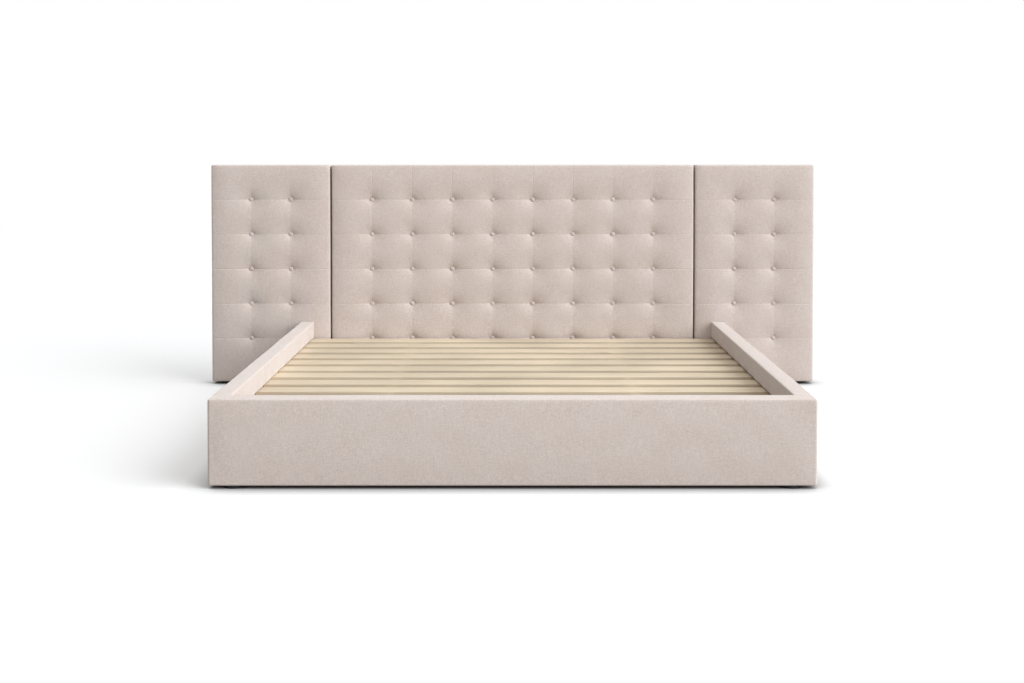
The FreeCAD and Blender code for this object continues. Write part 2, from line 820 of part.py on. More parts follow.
def make_feet():
    """Low plastic feet, each with a countersunk screw from below."""
    for name, diameter, spots in (
            ("front_feet", "foot_diameter", front_foot_spots()),
            ("rail_feet", "small_foot_diameter", rail_foot_spots()),
            ("headboard_feet", "small_foot_diameter", panel_foot_spots())):
        puck = turned(name + "_puck", [
            ("screw_head_radius + bore_gap", "0"),
            (f"{diameter} / 2 - foot_chamfer", "0"),
            (f"{diameter} / 2", "foot_chamfer"),
            (f"{diameter} / 2", "foot_height"),
            ("0", "foot_height"),
            ("0", "foot_screw_recess"),
            ("screw_head_radius + bore_gap", "foot_screw_recess"),
        ])
        blank = shaped(name + "_blank", Part.makeCompound(copies(puck, [(spot, UP) for spot in spots])))
        keep(drilled(name, blank), name)


# Headboard

def tuft_columns(width):
    """Where the lines of buttons stand across a panel: the panel is cut into equal cells."""
    cells = round(width / number("tuft_spacing"))
    return [-width / 2 + width / cells * k for k in range(1, cells)]


def tuft_rows():
    """How high the lines of buttons are in a panel: a full pitch down from the top each time."""
    height = number("panel_height")
    pitch = number("tuft_pitch")
    count = int((height - pitch / 2) / pitch)
    return [height - pitch * k for k in range(count, 0, -1)]


def fade(distance, reach):
    """Fall smoothly from one to nothing over a reach."""
    return max(0.0, 1 - distance / reach) ** 2


def edge_rounding(distance):
    """How far a rounded edge lies behind the face, at a distance in from the panel's end."""
    radius = number("panel_edge_radius")
    if distance >= radius:
        return 0.0
    return radius - math.sqrt(radius ** 2 - (radius - distance) ** 2)


def tuft_levels():
    """Heights of the sections through a tufted pad, closer together at the seams and at the ends."""
    height = number("panel_height")
    radius = number("panel_edge_radius")
    lines = [0.0, *tuft_rows(), height]
    levels = {low + share * (high - low)
              for low, high in zip(lines, lines[1:]) for share in CELL_LEVEL_SHARES}
    clear = EDGE_CLEAR_SHARE * radius
    levels = {level for level in levels if clear < level < height - clear}
    for share in EDGE_LEVEL_SHARES:
        levels.update((share * radius, height - share * radius))
    return sorted(levels)


def pad_section(width, z):
    """A level section of a pad: an arc over each cell, drawn in at the seams and more so near the buttons."""
    rise = min(abs(z - row) for row in tuft_rows())
    drop = edge_rounding(min(z, number("panel_height") - z))
    radius = number("panel_edge_radius")
    seam = drop + number("seam_depth") + number("tuft_depth - seam_depth") * fade(rise, number("tuft_reach"))
    crown = drop + number("row_seam_depth") * fade(rise, number("tuft_pitch / 2"))
    edge = drop + number("seam_depth / 2")
    back = number("panel_depth")
    half = width / 2
    bend = radius * math.cos(math.pi / 4)
    corner = half - radius + bend
    corner_depth = edge + radius - bend

    columns = tuft_columns(width)
    spots = [Vector(half - radius, edge, z)]
    spots += [Vector(x, seam, z) for x in reversed(columns)]
    spots += [Vector(radius - half, edge, z)]
    edges = [
        Part.LineSegment(Vector(-half, back, z), Vector(half, back, z)),
        Part.LineSegment(Vector(half, back, z), Vector(half, edge + radius, z)),
        Part.Arc(Vector(half, edge + radius, z), Vector(corner, corner_depth, z), spots[0]),
    ]
    for start, end in zip(spots, spots[1:]):
        edges.append(Part.Arc(start, Vector((start.x + end.x) / 2, crown, z), end))
    edges += [
        Part.Arc(spots[-1], Vector(-corner, corner_depth, z), Vector(-half, edge + radius, z)),
        Part.LineSegment(Vector(-half, edge + radius, z), Vector(-half, back, z)),
    ]
    return Part.Wire([line.toShape() for line in edges])


def tufted_pad(width):
    """A padded cover: tufted in front, wrapped round the sides, and open behind for the board and frame."""
    solid = Part.makeLoft([pad_section(width, z) for z in tuft_levels()], True, True)
    wrap = number("edge_wrap")
    depth = number("panel_depth - pad_depth")
    room = Part.makeBox(width - 2 * wrap, depth, number("panel_height") - 2 * wrap,
                        Vector(wrap - width / 2, number("pad_depth"), wrap))
    radius = number("button_diameter / 2 + button_gap")
    seats = [Part.makeCylinder(radius, number("tuft_depth + button_sink"), Vector(x, 0, z), HEADWARD)
             for x in tuft_columns(width) for z in tuft_rows()]
    return solid.cut(Part.makeCompound([room, *seats])).Solids[0]


def make_buttons(name, x, width):
    """Covered buttons, one on each crossing of the seams."""
    cap = doc.addObject("Part::Sphere", name + "_cap")
    bind(cap, Radius="button_sphere", Angle1="asin(1 - button_height / button_sphere)")
    place(cap, ("0", "0", "button_height - button_sphere"))
    doc.recompute()
    y = number("headboard_y + tuft_depth + button_sink")
    spots = [(Vector(number(x) + column, y, number("foot_height") + row), FOOTWARD)
             for column in tuft_columns(number(width)) for row in tuft_rows()]
    keep(shaped(name, Part.makeCompound(copies(cap, spots))), name)


def make_panel_frame(name, x, width, stiles):
    """Softwood battens behind a board: one along the top, one along the bottom and stiles between."""
    inside = f"({width} - 2 * edge_wrap)"
    left = f"{x} - {inside} / 2"
    low = "foot_height + edge_wrap"
    inside_height = "(panel_height - 2 * edge_wrap)"
    members = {
        "bottom": ((inside, "batten_depth", "batten_width"), (left, "batten_y", low)),
        "top": ((inside, "batten_depth", "batten_width"),
                (left, "batten_y", f"{low} + {inside_height} - batten_width")),
    }
    for index in range(int(number(stiles))):
        step = f"{index} * ({inside} - batten_width) / ({stiles} - 1)"
        members[f"stile_{index + 1}"] = (
            ("batten_width", "batten_depth", f"{inside_height} - 2 * batten_width"),
            (f"{left} + {step}", "batten_y", f"{low} + batten_width"),
        )
    solids = []
    for member, (size, corner) in members.items():
        solids.append(drilled(f"{name}_{member}", box(f"{name}_{member}_blank", size, corner)))
    keep(grouped(name, solids), name)


def make_panel(name, x, width, stiles):
    """One headboard panel: pad, buttons, board, frame and dust cover."""
    pad = shaped(f"{name}_pad_blank", tufted_pad(number(width)), (x, "headboard_y", "foot_height"))
    keep(drilled(f"{name}_pad", pad), f"{name}_pad")
    make_buttons(f"{name}_buttons", x, width)

    inside = f"({width} - 2 * edge_wrap)"
    board = box(f"{name}_board_blank", (inside, "board_thickness", "panel_height - 2 * edge_wrap"),
                (f"{x} - {inside} / 2", "board_y", "foot_height + edge_wrap"))
    keep(drilled(f"{name}_board", board), f"{name}_board")
    make_panel_frame(f"{name}_frame", x, width, stiles)

    cover_width = f"({width} - 2 * dust_cover_inset)"
    cover = box(f"{name}_dust_cover_blank",
                (cover_width, "dust_cover_thickness", "panel_height - 2 * dust_cover_inset"),
                (f"{x} - {cover_width} / 2", "panel_back_y", "foot_height + dust_cover_inset"))
    keep(drilled(f"{name}_dust_cover", cover), f"{name}_dust_cover")


def make_joining_plates():
    """Flat steel plates that tie the wings to the centre panel from behind."""
    plates = []
    for name, side in SIDES.items():
        for level in ("low", "high"):
            corner = (f"{side} * seam_x - plate_length / 2", "plate_y", f"plate_{level}_z - plate_height / 2")
            blank = box(f"joining_plate_{level}_{name}_blank",
                        ("plate_length", "plate_thickness", "plate_height"), corner)
            plates.append(drilled(f"joining_plate_{level}_{name}", blank))
    keep(grouped("joining_plates", plates), "joining_plates")


def check_document():
    """Stop unless every object was recomputed and every sub-part is a sound solid or group of solids."""
    doc.recompute()
    for item in doc.Objects:
        if "Invalid" in item.State or "Error" in item.State:
            raise RuntimeError(f"{item.Label}: {item.State}")
    for piece in pieces:
        shape = piece.Shape
        if shape.isNull() or not shape.isValid() or not shape.Solids:
            raise RuntimeError(f"{piece.Label}: not a valid solid")


def write_pieces():
    os.makedirs("parts", exist_ok=True)
    for piece in pieces:
        piece.Shape.exportStep(f"parts/{piece.Label}.step")


def main():
    fill_sheet()
    make_fasteners()
    make_foot_rail()
    for name, side in SIDES.items():
        make_side_rail(name, side)
    make_head_rail()
    make_corner_brackets()
    make_slats()
    make_centre_beam()
    make_support_leg("foot", "-leg_spacing / 2")
    make_support_leg("head", "leg_spacing / 2")
    make_feet()
    make_panel("headboard_centre", "0", "centre_width", "centre_stile_count")
    make_panel("headboard_left_wing", "-wing_x", "wing_width", "wing_stile_count")
    make_panel("headboard_right_wing", "wing_x", "wing_width", "wing_stile_count")
    make_joining_plates()
    check_document()
    write_pieces()
    print(f"{len(pieces)} sub-parts, {sum(len(piece.Shape.Solids) for piece in pieces)} solids")


main()
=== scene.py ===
import json
import math
import random
from itertools import product

import bmesh
import bpy
import numpy as np
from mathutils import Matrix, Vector


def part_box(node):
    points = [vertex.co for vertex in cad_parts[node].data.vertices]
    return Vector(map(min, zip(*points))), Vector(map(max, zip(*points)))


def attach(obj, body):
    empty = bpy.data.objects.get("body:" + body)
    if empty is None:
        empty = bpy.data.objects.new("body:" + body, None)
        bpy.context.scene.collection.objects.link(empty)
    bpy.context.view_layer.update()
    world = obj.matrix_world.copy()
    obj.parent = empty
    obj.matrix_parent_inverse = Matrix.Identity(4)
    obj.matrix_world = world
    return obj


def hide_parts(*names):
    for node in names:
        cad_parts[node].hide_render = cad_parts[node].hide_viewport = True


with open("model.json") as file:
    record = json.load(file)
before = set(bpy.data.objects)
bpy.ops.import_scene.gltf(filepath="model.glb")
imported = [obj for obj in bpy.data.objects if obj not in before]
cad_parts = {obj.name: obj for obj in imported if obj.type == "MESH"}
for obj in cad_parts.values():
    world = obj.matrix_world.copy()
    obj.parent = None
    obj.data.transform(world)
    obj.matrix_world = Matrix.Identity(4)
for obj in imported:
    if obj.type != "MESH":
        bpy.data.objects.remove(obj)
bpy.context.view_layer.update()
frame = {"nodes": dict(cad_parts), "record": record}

# The looks of an upholstered king bed frame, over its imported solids. Metres, in the solids' own frame.

scene = bpy.context.scene

PANELS = ("centre", "left_wing", "right_wing")
SLATS = [f"slat_{number:02d}" for number in range(1, 13)]


# Materials

def set_all(thing, **values):
    for key, value in values.items():
        setattr(thing, key, value)


class Nodes:
    """The nodes of a material or a world, with short calls that add to them."""

    def __init__(self, owner):
        owner.use_nodes = True
        self.tree = owner.node_tree

    def feed(self, socket, value):
        if isinstance(value, bpy.types.NodeSocket):
            self.tree.links.new(value, socket)
        else:
            socket.default_value = value

    def add(self, kind, inputs=None, **settings):
        node = self.tree.nodes.new("ShaderNode" + kind)
        set_all(node, **settings)
        for key, value in (inputs or {}).items():
            self.feed(node.inputs[key], value)
        return node

    def math(self, operation, a, b=0.0):
        return self.add("Math", {0: a, 1: b}, operation=operation).outputs[0]

    def blend(self, share, first, second):
        """The first shader where a share is nought, and the second where it is one."""
        return self.add("MixShader", {0: share, 1: first, 2: second}).outputs[0]


class Look(Nodes):
    """A procedural material."""

    def __init__(self, name):
        self.material = bpy.data.materials.new(name)
        super().__init__(self.material)
        self.shader = self.tree.nodes["Principled BSDF"]
        self.coords = self.add("TexCoord")
        self.place = self.coords.outputs["Object"]

    def shade(self, **values):
        for key, value in values.items():
            self.feed(self.shader.inputs[key.replace("_", " ")], value)

    def times(self, a, b):
        return self.math("MULTIPLY", a, b)

    def sum(self, *terms):
        total = terms[0]
        for term in terms[1:]:
            total = self.math("ADD", total, term)
        return total

    def pick(self, share, first, second):
        """The first value where a share is nought, and the second where it is one."""
        return self.sum(first, self.times(share, self.math("SUBTRACT", second, first)))

    def wave(self, value, length):
        """A sine that is nought once in each length."""
        return self.math("SINE", self.times(value, math.pi / length))

    def split(self, vector):
        return self.add("SeparateXYZ", {0: vector}).outputs

    def join(self, x, y, z):
        return self.add("CombineXYZ", {0: x, 1: y, 2: z}).outputs[0]

    def stretch(self, factors):
        return self.add("VectorMath", {0: self.place, 1: factors}, operation="MULTIPLY").outputs[0]

    def faces(self, axis):
        """One on the sides that face within 45 degrees of an axis, and nought on the others."""
        normal = self.split(self.coords.outputs["Normal"])[axis]
        return self.math("GREATER_THAN", self.math("ABSOLUTE", normal), 0.707)

    def noise(self, scale, detail=2.0, roughness=0.5, distortion=0.0, place=None):
        place = self.place if place is None else place
        return self.add("TexNoise", {"Vector": place, "Scale": scale, "Detail": detail,
                                     "Roughness": roughness, "Distortion": distortion}).outputs["Fac"]

    def spread(self, value, low, high, to_low=0.0, to_high=1.0):
        """Carry a value from one range to another, and no further."""
        return self.add("MapRange", {"Value": value, "From Min": low, "From Max": high,
                                     "To Min": to_low, "To Max": to_high}).outputs["Result"]

    def vary(self, noise, to_low, to_high):
        """Carry the range that most of a noise lies in to another."""
        return self.spread(noise, 0.3, 0.7, to_low, to_high)

    def mix(self, share, first, second, how="MIX"):
        return self.add("Mix", {0: share, 6: first, 7: second}, data_type="RGBA", blend_type=how).outputs[2]

    def tint(self, colour, value):
        """Multiply a colour by a value."""
        return self.mix(1.0, colour, value, "MULTIPLY")

    def bump(self, height, distance, strength):
        node = self.add("Bump", {"Height": height, "Distance": distance, "Strength": strength})
        self.shade(Normal=node.outputs[0])


def flat_coordinates(look):
    """Across and up on whichever side of a box-like piece a point is."""
    x, y, z = look.split(look.place)
    return look.pick(look.faces(0), x, y), look.pick(look.faces(2), z, y)


def weave(look, across, up, yarn, wander):
    """Height of a plain weave of yarns that wander by some of their width."""
    shift = look.times(look.math("SUBTRACT", look.noise(scale=90.0), 0.5), wander)
    warp = look.wave(look.sum(look.math("DIVIDE", across, yarn), shift), length=1.0)
    weft = look.wave(look.sum(look.math("DIVIDE", up, yarn), shift), length=1.0)
    over = look.math("GREATER_THAN", look.times(warp, weft), 0.0)
    return look.pick(over, look.math("ABSOLUTE", weft), look.math("ABSOLUTE", warp))


def upholstery_cloth():
    """Beige plain weave, with slubs both ways, flecks and slow changes of tone."""
    look = Look("beige_woven_cloth")
    across, up = flat_coordinates(look)
    height = weave(look, across, up, yarn=0.0013, wander=1.2)
    slub = 6.0
    lying = look.noise(scale=34.0, detail=3.0, place=look.join(across, look.times(up, slub), 0.0))
    standing = look.noise(scale=34.0, detail=3.0, place=look.join(look.times(across, slub), up, 3.7))
    fleck = look.noise(scale=190.0, detail=3.0, roughness=0.7)
    cloud = look.noise(scale=9.0)
    # Painted shade: the yarns are painted darker towards the gaps between them; slubs, flecks and clouds are
    # the cloth's own tone
    tone = look.sum(
        look.vary(lying, -0.035, 0.035), look.vary(standing, -0.035, 0.035),
        look.vary(fleck, -0.12, 0.12), look.vary(cloud, -0.015, 0.015),
        look.spread(height, 0.0, 1.0, 0.88, 1.04))
    warm = look.mix(look.spread(cloud, 0.35, 0.65), (0.595, 0.513, 0.470, 1), (0.595, 0.522, 0.486, 1))
    look.shade(Base_Color=look.tint(warm, tone), Roughness=0.92, Sheen_Weight=0.35, Sheen_Roughness=0.40,
               Sheen_Tint=(1.0, 0.97, 0.94, 1), Specular_IOR_Level=0.25)
    relief = look.sum(height, look.times(lying, 0.8), look.times(standing, 0.6))
    look.bump(relief, distance=0.00022, strength=0.6)
    return look.material


def dust_cloth():
    """Loose fibres, with small dots where they are bonded."""
    look = Look("black_non_woven_cloth")
    across, up = flat_coordinates(look)
    fibres = look.noise(scale=900.0, detail=4.0, roughness=0.7, distortion=1.5)
    dots = look.times(look.wave(across, length=0.0011), look.wave(up, length=0.0011))
    cloud = look.noise(scale=14.0, detail=3.0)
    tone = look.sum(look.vary(fibres, 0.75, 1.3), look.vary(cloud, -0.12, 0.12))
    look.shade(Base_Color=look.tint((0.022, 0.022, 0.024, 1), tone), Roughness=0.88, Sheen_Weight=0.12,
               Specular_IOR_Level=0.3)
    look.bump(look.sum(fibres, look.spread(dots, 0.3, 0.9, 0.0, -0.8)), distance=0.0002, strength=0.7)
    return look.material


def webbing_cloth():
    """Ribs across a strap, and cords along it."""
    look = Look("woven_strap")
    x, y = look.split(look.place)[:2]
    ribs = look.math("ABSOLUTE", look.wave(y, length=0.0016))
    cords = look.math("ABSOLUTE", look.wave(x, length=0.0024))
    fleck = look.noise(scale=700.0, detail=3.0)
    height = look.sum(ribs, look.times(cords, 0.7))
    # Painted shade: the grooves between ribs and cords are painted darker; the flecks are the strap's own
    # tone
    tone = look.sum(look.spread(height, 0.2, 1.5, 0.78, 1.05), look.vary(fleck, -0.08, 0.08))
    look.shade(Base_Color=look.tint((0.60, 0.58, 0.52, 1), tone), Roughness=0.75, Sheen_Weight=0.15)
    look.bump(height, distance=0.0003, strength=0.8)
    return look.material


def timber(name, light, dark, along, ring_gap, knots, sawn):
    """Wood with its grain along an axis: rings drawn out along it, pores, knots and saw marks."""
    look = Look(name)
    lengths = [1.0, 1.0, 1.0]
    lengths[along] = 0.045
    drawn = look.stretch(lengths)
    wander = look.noise(scale=7.0, detail=3.0, place=drawn)
    swirl = look.noise(scale=24.0, place=drawn)
    parts = list(look.split(look.place))
    parts.pop(along)
    radius = look.sum(
        look.times(parts[0], 0.55), parts[1], look.times(wander, 0.16), look.times(swirl, 0.010))
    ring = look.math("FRACT", look.math("DIVIDE", radius, ring_gap))
    late = look.times(look.math("POWER", ring, 2.5), look.vary(wander, 0.55, 0.95))
    pores = look.noise(scale=700.0, place=look.stretch([length * 1.6 for length in lengths]))
    cells = look.stretch([3.2 * length ** 0.3 for length in lengths])
    spots = look.add("TexVoronoi", {"Vector": cells, "Scale": 1.0, "Randomness": 1.0})
    knot = look.spread(spots.outputs["Distance"], 0.016, 0.034, knots, 0.0)
    plank = look.noise(scale=2.6, detail=1.0)
    grain = look.sum(late, look.spread(pores, 0.35, 0.7, -0.08, 0.10))
    colour = look.mix(look.times(grain, 0.72), (*light, 1), (*dark, 1))
    colour = look.mix(knot, colour, (0.13, 0.058, 0.022, 1))
    colour = look.tint(colour, look.vary(plank, 0.86, 1.08))
    strokes = look.stretch([900.0 if length < 1 else 25.0 for length in lengths])
    marks = look.noise(scale=1.0, place=strokes)
    look.shade(Base_Color=colour, Roughness=look.spread(late, 0.0, 1.0, 0.62, 0.48))
    height = look.sum(look.times(late, 0.5), pores, look.times(marks, sawn))
    look.bump(height, distance=0.00025, strength=0.5)
    return look.material


def plywood():
    """Birch plywood: calm grain on the broad faces, and thin plies on the edges."""
    look = Look("plywood")
    y = look.split(look.place)[1]
    drawn = look.stretch((0.10, 1.0, 1.0))
    figure = look.noise(scale=30.0, detail=4.0, roughness=0.6, distortion=0.6, place=drawn)
    pores = look.noise(scale=900.0, place=look.stretch((0.06, 1.0, 1.0)))
    ply = look.math("PINGPONG", look.sum(y, look.times(figure, 0.0002)), 0.0015)
    edge_tone = look.spread(ply, 0.0005, 0.0010, 0.62, 1.0)
    face_tone = look.sum(look.vary(figure, 0.82, 1.06), look.vary(pores, -0.06, 0.05))
    tone = look.pick(look.faces(1), edge_tone, face_tone)
    look.shade(Base_Color=look.tint((0.60, 0.43, 0.26, 1), tone), Roughness=0.62)
    look.bump(look.sum(pores, figure), distance=0.0002, strength=0.4)
    return look.material


def coating(name, colour, soil, tone, roughness, grain, distance, strength, **values):
    """A hard surface with a fine grain, whose tone and roughness change with soil."""
    look = Look(name)
    soil = look.noise(**soil)
    look.shade(Base_Color=look.tint(colour, look.spread(soil, *tone)),
               Roughness=look.vary(soil, *roughness), **values)
    look.bump(look.noise(scale=grain), distance, strength)
    return look.material


def zinc():
    """Small spangles, and duller stains."""
    look = Look("zinc_plate")
    spangle = look.add("TexVoronoi", {"Vector": look.place, "Scale": 380.0}).outputs["Color"]
    stain = look.noise(scale=60.0, detail=4.0, roughness=0.6)
    tone = look.sum(look.spread(look.split(spangle)[0], 0.0, 1.0, 0.90, 1.02),
                    look.spread(stain, 0.3, 0.75, 0.04, -0.14))
    look.shade(Base_Color=look.tint((0.66, 0.67, 0.68, 1), tone), Metallic=1.0,
               Roughness=look.vary(stain, 0.28, 0.44))
    look.bump(look.noise(scale=1200.0), distance=0.0001, strength=0.2)
    return look.material


SOFTWOOD = {"light": (0.60, 0.43, 0.25), "dark": (0.40, 0.24, 0.11), "ring_gap": 0.0075,
            "knots": 0.8, "sawn": 0.9}
FINISHES = {
    "upholstery": upholstery_cloth(),
    "dust_cloth": dust_cloth(),
    "webbing": webbing_cloth(),
    "slat_pine": timber("planed_pine", light=(0.63, 0.535, 0.40), dark=(0.46, 0.345, 0.215), along=0,
                        ring_gap=0.0085, knots=0.85, sawn=0.1),
    "softwood": timber("sawn_softwood", along=1, **SOFTWOOD),
    "softwood_across": timber("sawn_softwood_across", along=0, **SOFTWOOD),
    "plywood": plywood(),
    "black_steel": coating(
        "black_powder_coat", (0.022, 0.022, 0.024, 1), {"scale": 28.0, "detail": 4.0, "roughness": 0.6},
        tone=(0.3, 0.75, 0.8, 1.5), roughness=(0.38, 0.52), grain=650.0, distance=0.0002, strength=0.35),
    "zinc_steel": zinc(),
    "black_plastic": coating(
        "moulded_black_plastic", (0.011, 0.011, 0.012, 1), {"scale": 45.0, "detail": 4.0, "roughness": 0.65},
        tone=(0.3, 0.8, 0.8, 1.9), roughness=(0.55, 0.72), grain=1500.0, distance=0.00015, strength=0.4,
        Specular_IOR_Level=0.2),
}


# Meshes

# Waves in a ripple, and the most that one turns in a metre
RIPPLE_WAVES = 6
RIPPLE_PACE = 14.0
FULL_TURN = 6.28


def new_mesh(name, spots, faces, outward=True):
    mesh = bpy.data.meshes.new(name)
    mesh.from_pydata(np.asarray(spots, float).tolist(), [], [list(map(int, face)) for face in faces])
    if outward:
        work = bmesh.new()
        work.from_mesh(mesh)
        bmesh.ops.recalc_face_normals(work, faces=work.faces)
        work.to_mesh(mesh)
        work.free()
    return mesh


def add_object(name, data):
    thing = bpy.data.objects.new(name, data)
    scene.collection.objects.link(thing)
    return thing


def mesh_object(name, spots, faces, slot, sharp):
    """A piece with outward faces, smooth except across edges sharper than an angle."""
    mesh = new_mesh(name, spots, faces)
    mesh.materials.append(FINISHES[slot])
    mesh.shade_smooth()
    mesh.set_sharp_from_angle(angle=math.radians(sharp))
    piece = add_object(name, mesh)
    return piece


def loop_faces(first, second, count):
    """Four-sided faces between two closed loops of as many points."""
    return [(first + k, first + (k + 1) % count, second + (k + 1) % count, second + k) for k in range(count)]


def loft_faces(rows, count):
    """Faces of a closed piece through a row of closed loops, with flat ends."""
    faces = [list(range(count))[::-1], list(range((rows - 1) * count, rows * count))]
    for row in range(rows - 1):
        faces += loop_faces(row * count, (row + 1) * count, count)
    return faces


def grid_faces(wide, tall):
    """Four-sided faces of a grid whose points run up one line after another."""
    return [(i * tall + j, (i + 1) * tall + j, (i + 1) * tall + j + 1, i * tall + j + 1)
            for i in range(wide - 1) for j in range(tall - 1)]


def grid_rim(wide, tall):
    """The points round the outside of such a grid."""
    points = np.arange(wide * tall).reshape(wide, tall)
    return [*points[:, 0], *points[-1, 1:], *points[-2::-1, -1], *points[0, -2:0:-1]]


def sine_cosine(degrees):
    return math.sin(math.radians(degrees)), math.cos(math.radians(degrees))


def ripple(seed, *coordinates):
    """Slow, smooth unevenness between about minus one and one."""
    chance = random.Random(seed)
    total = 0.0
    for _ in range(RIPPLE_WAVES):
        angle = chance.uniform(0, FULL_TURN)
        for coordinate in coordinates:
            angle = angle + coordinate * chance.uniform(-RIPPLE_PACE, RIPPLE_PACE)
        total = total + np.sin(angle) / (RIPPLE_WAVES / 2)
    return total


# Cloth that settles over its padding

SETTLE_FRAMES = 20
FOAM_HOLD = 0.12


def settled(spots, faces, hold, push, most, closed=False):
    """How far the points of a sheet move when padding pushes from behind. A hold of 1 keeps one still."""
    mesh = new_mesh("settling", spots, faces, outward=closed)
    sheet = add_object("settling", mesh)
    group = sheet.vertex_groups.new(name="held")
    for level in np.unique(hold):
        group.add(np.flatnonzero(hold == level).tolist(), float(level), "REPLACE")
    cloth = sheet.modifiers.new("cloth", "CLOTH")
    set_all(cloth.settings, quality=5, mass=0.2, tension_stiffness=20, compression_stiffness=20,
            bending_stiffness=0.5, vertex_group_mass="held", pin_stiffness=1.0, use_pressure=True,
            uniform_pressure_force=push)
    cloth.settings.effector_weights.gravity = 0
    cloth.collision_settings.use_collision = False
    set_all(cloth.point_cache, frame_start=1, frame_end=SETTLE_FRAMES)
    for moment in range(1, SETTLE_FRAMES + 1):
        scene.frame_set(moment)
    moved = np.empty(spots.size)
    sheet.evaluated_get(bpy.context.evaluated_depsgraph_get()).data.vertices.foreach_get("co", moved)
    bpy.data.objects.remove(sheet)
    bpy.data.meshes.remove(mesh)
    scene.frame_set(1)
    move = moved.reshape(-1, 3) - spots
    far = np.linalg.norm(move, axis=1)[:, None]
    return move * np.minimum(1, most / np.maximum(far, 1e-9))


# Headboard panels

# Tufting: spacing across and pitch up, as in the solids, and depth
TUFT_SPACING = 0.200
TUFT_PITCH = 0.172
TUFT_DEPTH = 0.0116
# A dimple: radius of its flat seat, reach, and how its depth varies
TUFT_SEAT = 0.008
TUFT_REACH = 0.037
TUFT_VARIATION = (0.90, 1.06)
# Creases along a button's row and its column: depth, length and half width
ROW_CREASE = (0.0106, 0.046, 0.019)
COLUMN_CREASE = (0.0018, 0.055, 0.038)
# Seams: depth, half width, their share between the buttons, and how soon it is whole past them
SEAM_DEPTH = 0.0008
SEAM_HALF_WIDTH = 0.0014
SEAM_BETWEEN = 0.4
SEAM_FADE = 0.04
# Slow unevenness of the fronts and of the sides
FRONT_RIPPLE = 0.0005
SIDE_RIPPLE = 0.0004
# Rounded edges: depth, its share across and up, the angle where they begin, and points
PANEL_EDGE = 0.014
EDGE_SHARE = np.array([0.7, 0.4])
EDGE_START = 18
EDGE_POINTS = 7
# How a front falls away at its edges: across or up, depth and reach
EDGE_FALLS = ((0, 0.0018, 0.030), (0, 0.0035, 0.016), (1, 0.0016, 0.012))
# Corners: radius, its least, the inset that uses it up, and the width that moves with an edge
PANEL_CORNER = 0.008
CORNER_LEAST = 0.0005
CORNER_REACH = 0.030
PANEL_MARGIN = 0.040
# The sides: where they begin, how far before the back they end, and rows
SIDE_START = PANEL_EDGE + 0.010
SIDE_END = 0.005
SIDE_ROWS = 8
# The hem behind: its edge and where that begins, then insets and depths behind the pad
PAD_HEM_EDGE = 0.004
PAD_HEM_START = 0.003
PAD_HEM = ((0.020, 0.001), (0.038, 0.001), (0.038, 0.0002), (0.0102, 0.0002))
# The pocket for the board and the frame: inset and depth
POCKET = (0.0102, 0.0422)
# Grid of the fronts: even steps, steps of the simulation, and lines beside seams and edges
GRID_STEP = 0.008
SETTLE_STEP = 0.010
SEAM_OFFSETS = (0, 0.0012, 0.0026, 0.005, 0.0085, 0.0125, 0.017, 0.022, 0.028)
EDGE_OFFSETS = (0, 0.0015, 0.0035, 0.006, 0.009, 0.014, 0.020)


def tufting(low, high):
    """The columns and rows that a panel's buttons stand in."""
    cells = round((high.x - low.x) / TUFT_SPACING)
    columns = [low.x + (high.x - low.x) / cells * k for k in range(1, cells)]
    count = int((high.z - low.z - TUFT_PITCH / 2) / TUFT_PITCH)
    return columns, [high.z - TUFT_PITCH * k for k in range(count, 0, -1)]


def grid_lines(low, high, seams):
    """Lines of a grid: even steps between the seams, finer beside them and at the ends."""
    marks = {low + offset for offset in EDGE_OFFSETS} | {high - offset for offset in EDGE_OFFSETS}
    for seam in seams:
        marks |= {seam + offset for offset in SEAM_OFFSETS} | {seam - offset for offset in SEAM_OFFSETS}
    marks = sorted(marks)
    lines = []
    for start, end in zip(marks, marks[1:]):
        lines.extend(np.linspace(start, end, max(1, round((end - start) / GRID_STEP)), endpoint=False))
    return np.array([*lines, high])


def nearest(values, lines):
    """How far values are from the nearest of some lines."""
    return np.min([np.abs(values - line) for line in lines], axis=0)


def seam_dip(distance):
    return SEAM_DEPTH * np.exp(-(distance / SEAM_HALF_WIDTH) ** 2)


def crease(across, along, size):
    """A sharp fold that fades along its length."""
    deep, length, half_width = size
    return deep * np.exp(-along / length - across / half_width)


def outside(values, lines):
    """A share that is whole outside a row of lines and less between them."""
    apart = np.maximum(lines[0] - values, values - lines[-1])
    return SEAM_BETWEEN + (1 - SEAM_BETWEEN) * np.clip(apart / SEAM_FADE, 0, 1)


def front_edges(low, high):
    """Where a panel's front begins to turn round its edges, across and up."""
    across, up = PANEL_EDGE * EDGE_SHARE
    return (low.x + across, high.x - across), (low.z + up, high.z - up)


def tufted_depth(x, z, low, high, seed):
    """How far the cloth lies behind the foremost plane of a panel."""
    chance = random.Random(seed)
    columns, rows = tufting(low, high)
    tuft = np.zeros_like(x)
    for column, row in product(columns, rows):
        dx, dz = np.abs(x - column), np.abs(z - row)
        dimple = TUFT_DEPTH * np.exp(-np.maximum(np.hypot(dx, dz) - TUFT_SEAT, 0.0) / TUFT_REACH)
        dimple = dimple + crease(dz, dx, ROW_CREASE) + crease(dx, dz, COLUMN_CREASE)
        tuft = tuft + chance.uniform(*TUFT_VARIATION) * dimple
    upright = SEAM_BETWEEN if len(columns) < len(rows) else outside(z, rows)
    seam = seam_dip(nearest(x, columns)) * upright + seam_dip(nearest(z, rows)) * outside(x, columns)
    to_edges = [nearest(values, edges) for values, edges in zip((x, z), front_edges(low, high))]
    edge = sum(deep * np.exp(-to_edges[axis] / reach) for axis, deep, reach in EDGE_FALLS)
    calm = np.clip(1 - tuft / TUFT_DEPTH, 0, 1)
    return tuft + seam * calm + edge + FRONT_RIPPLE * (1 + ripple(seed + 9, x, z)) * calm


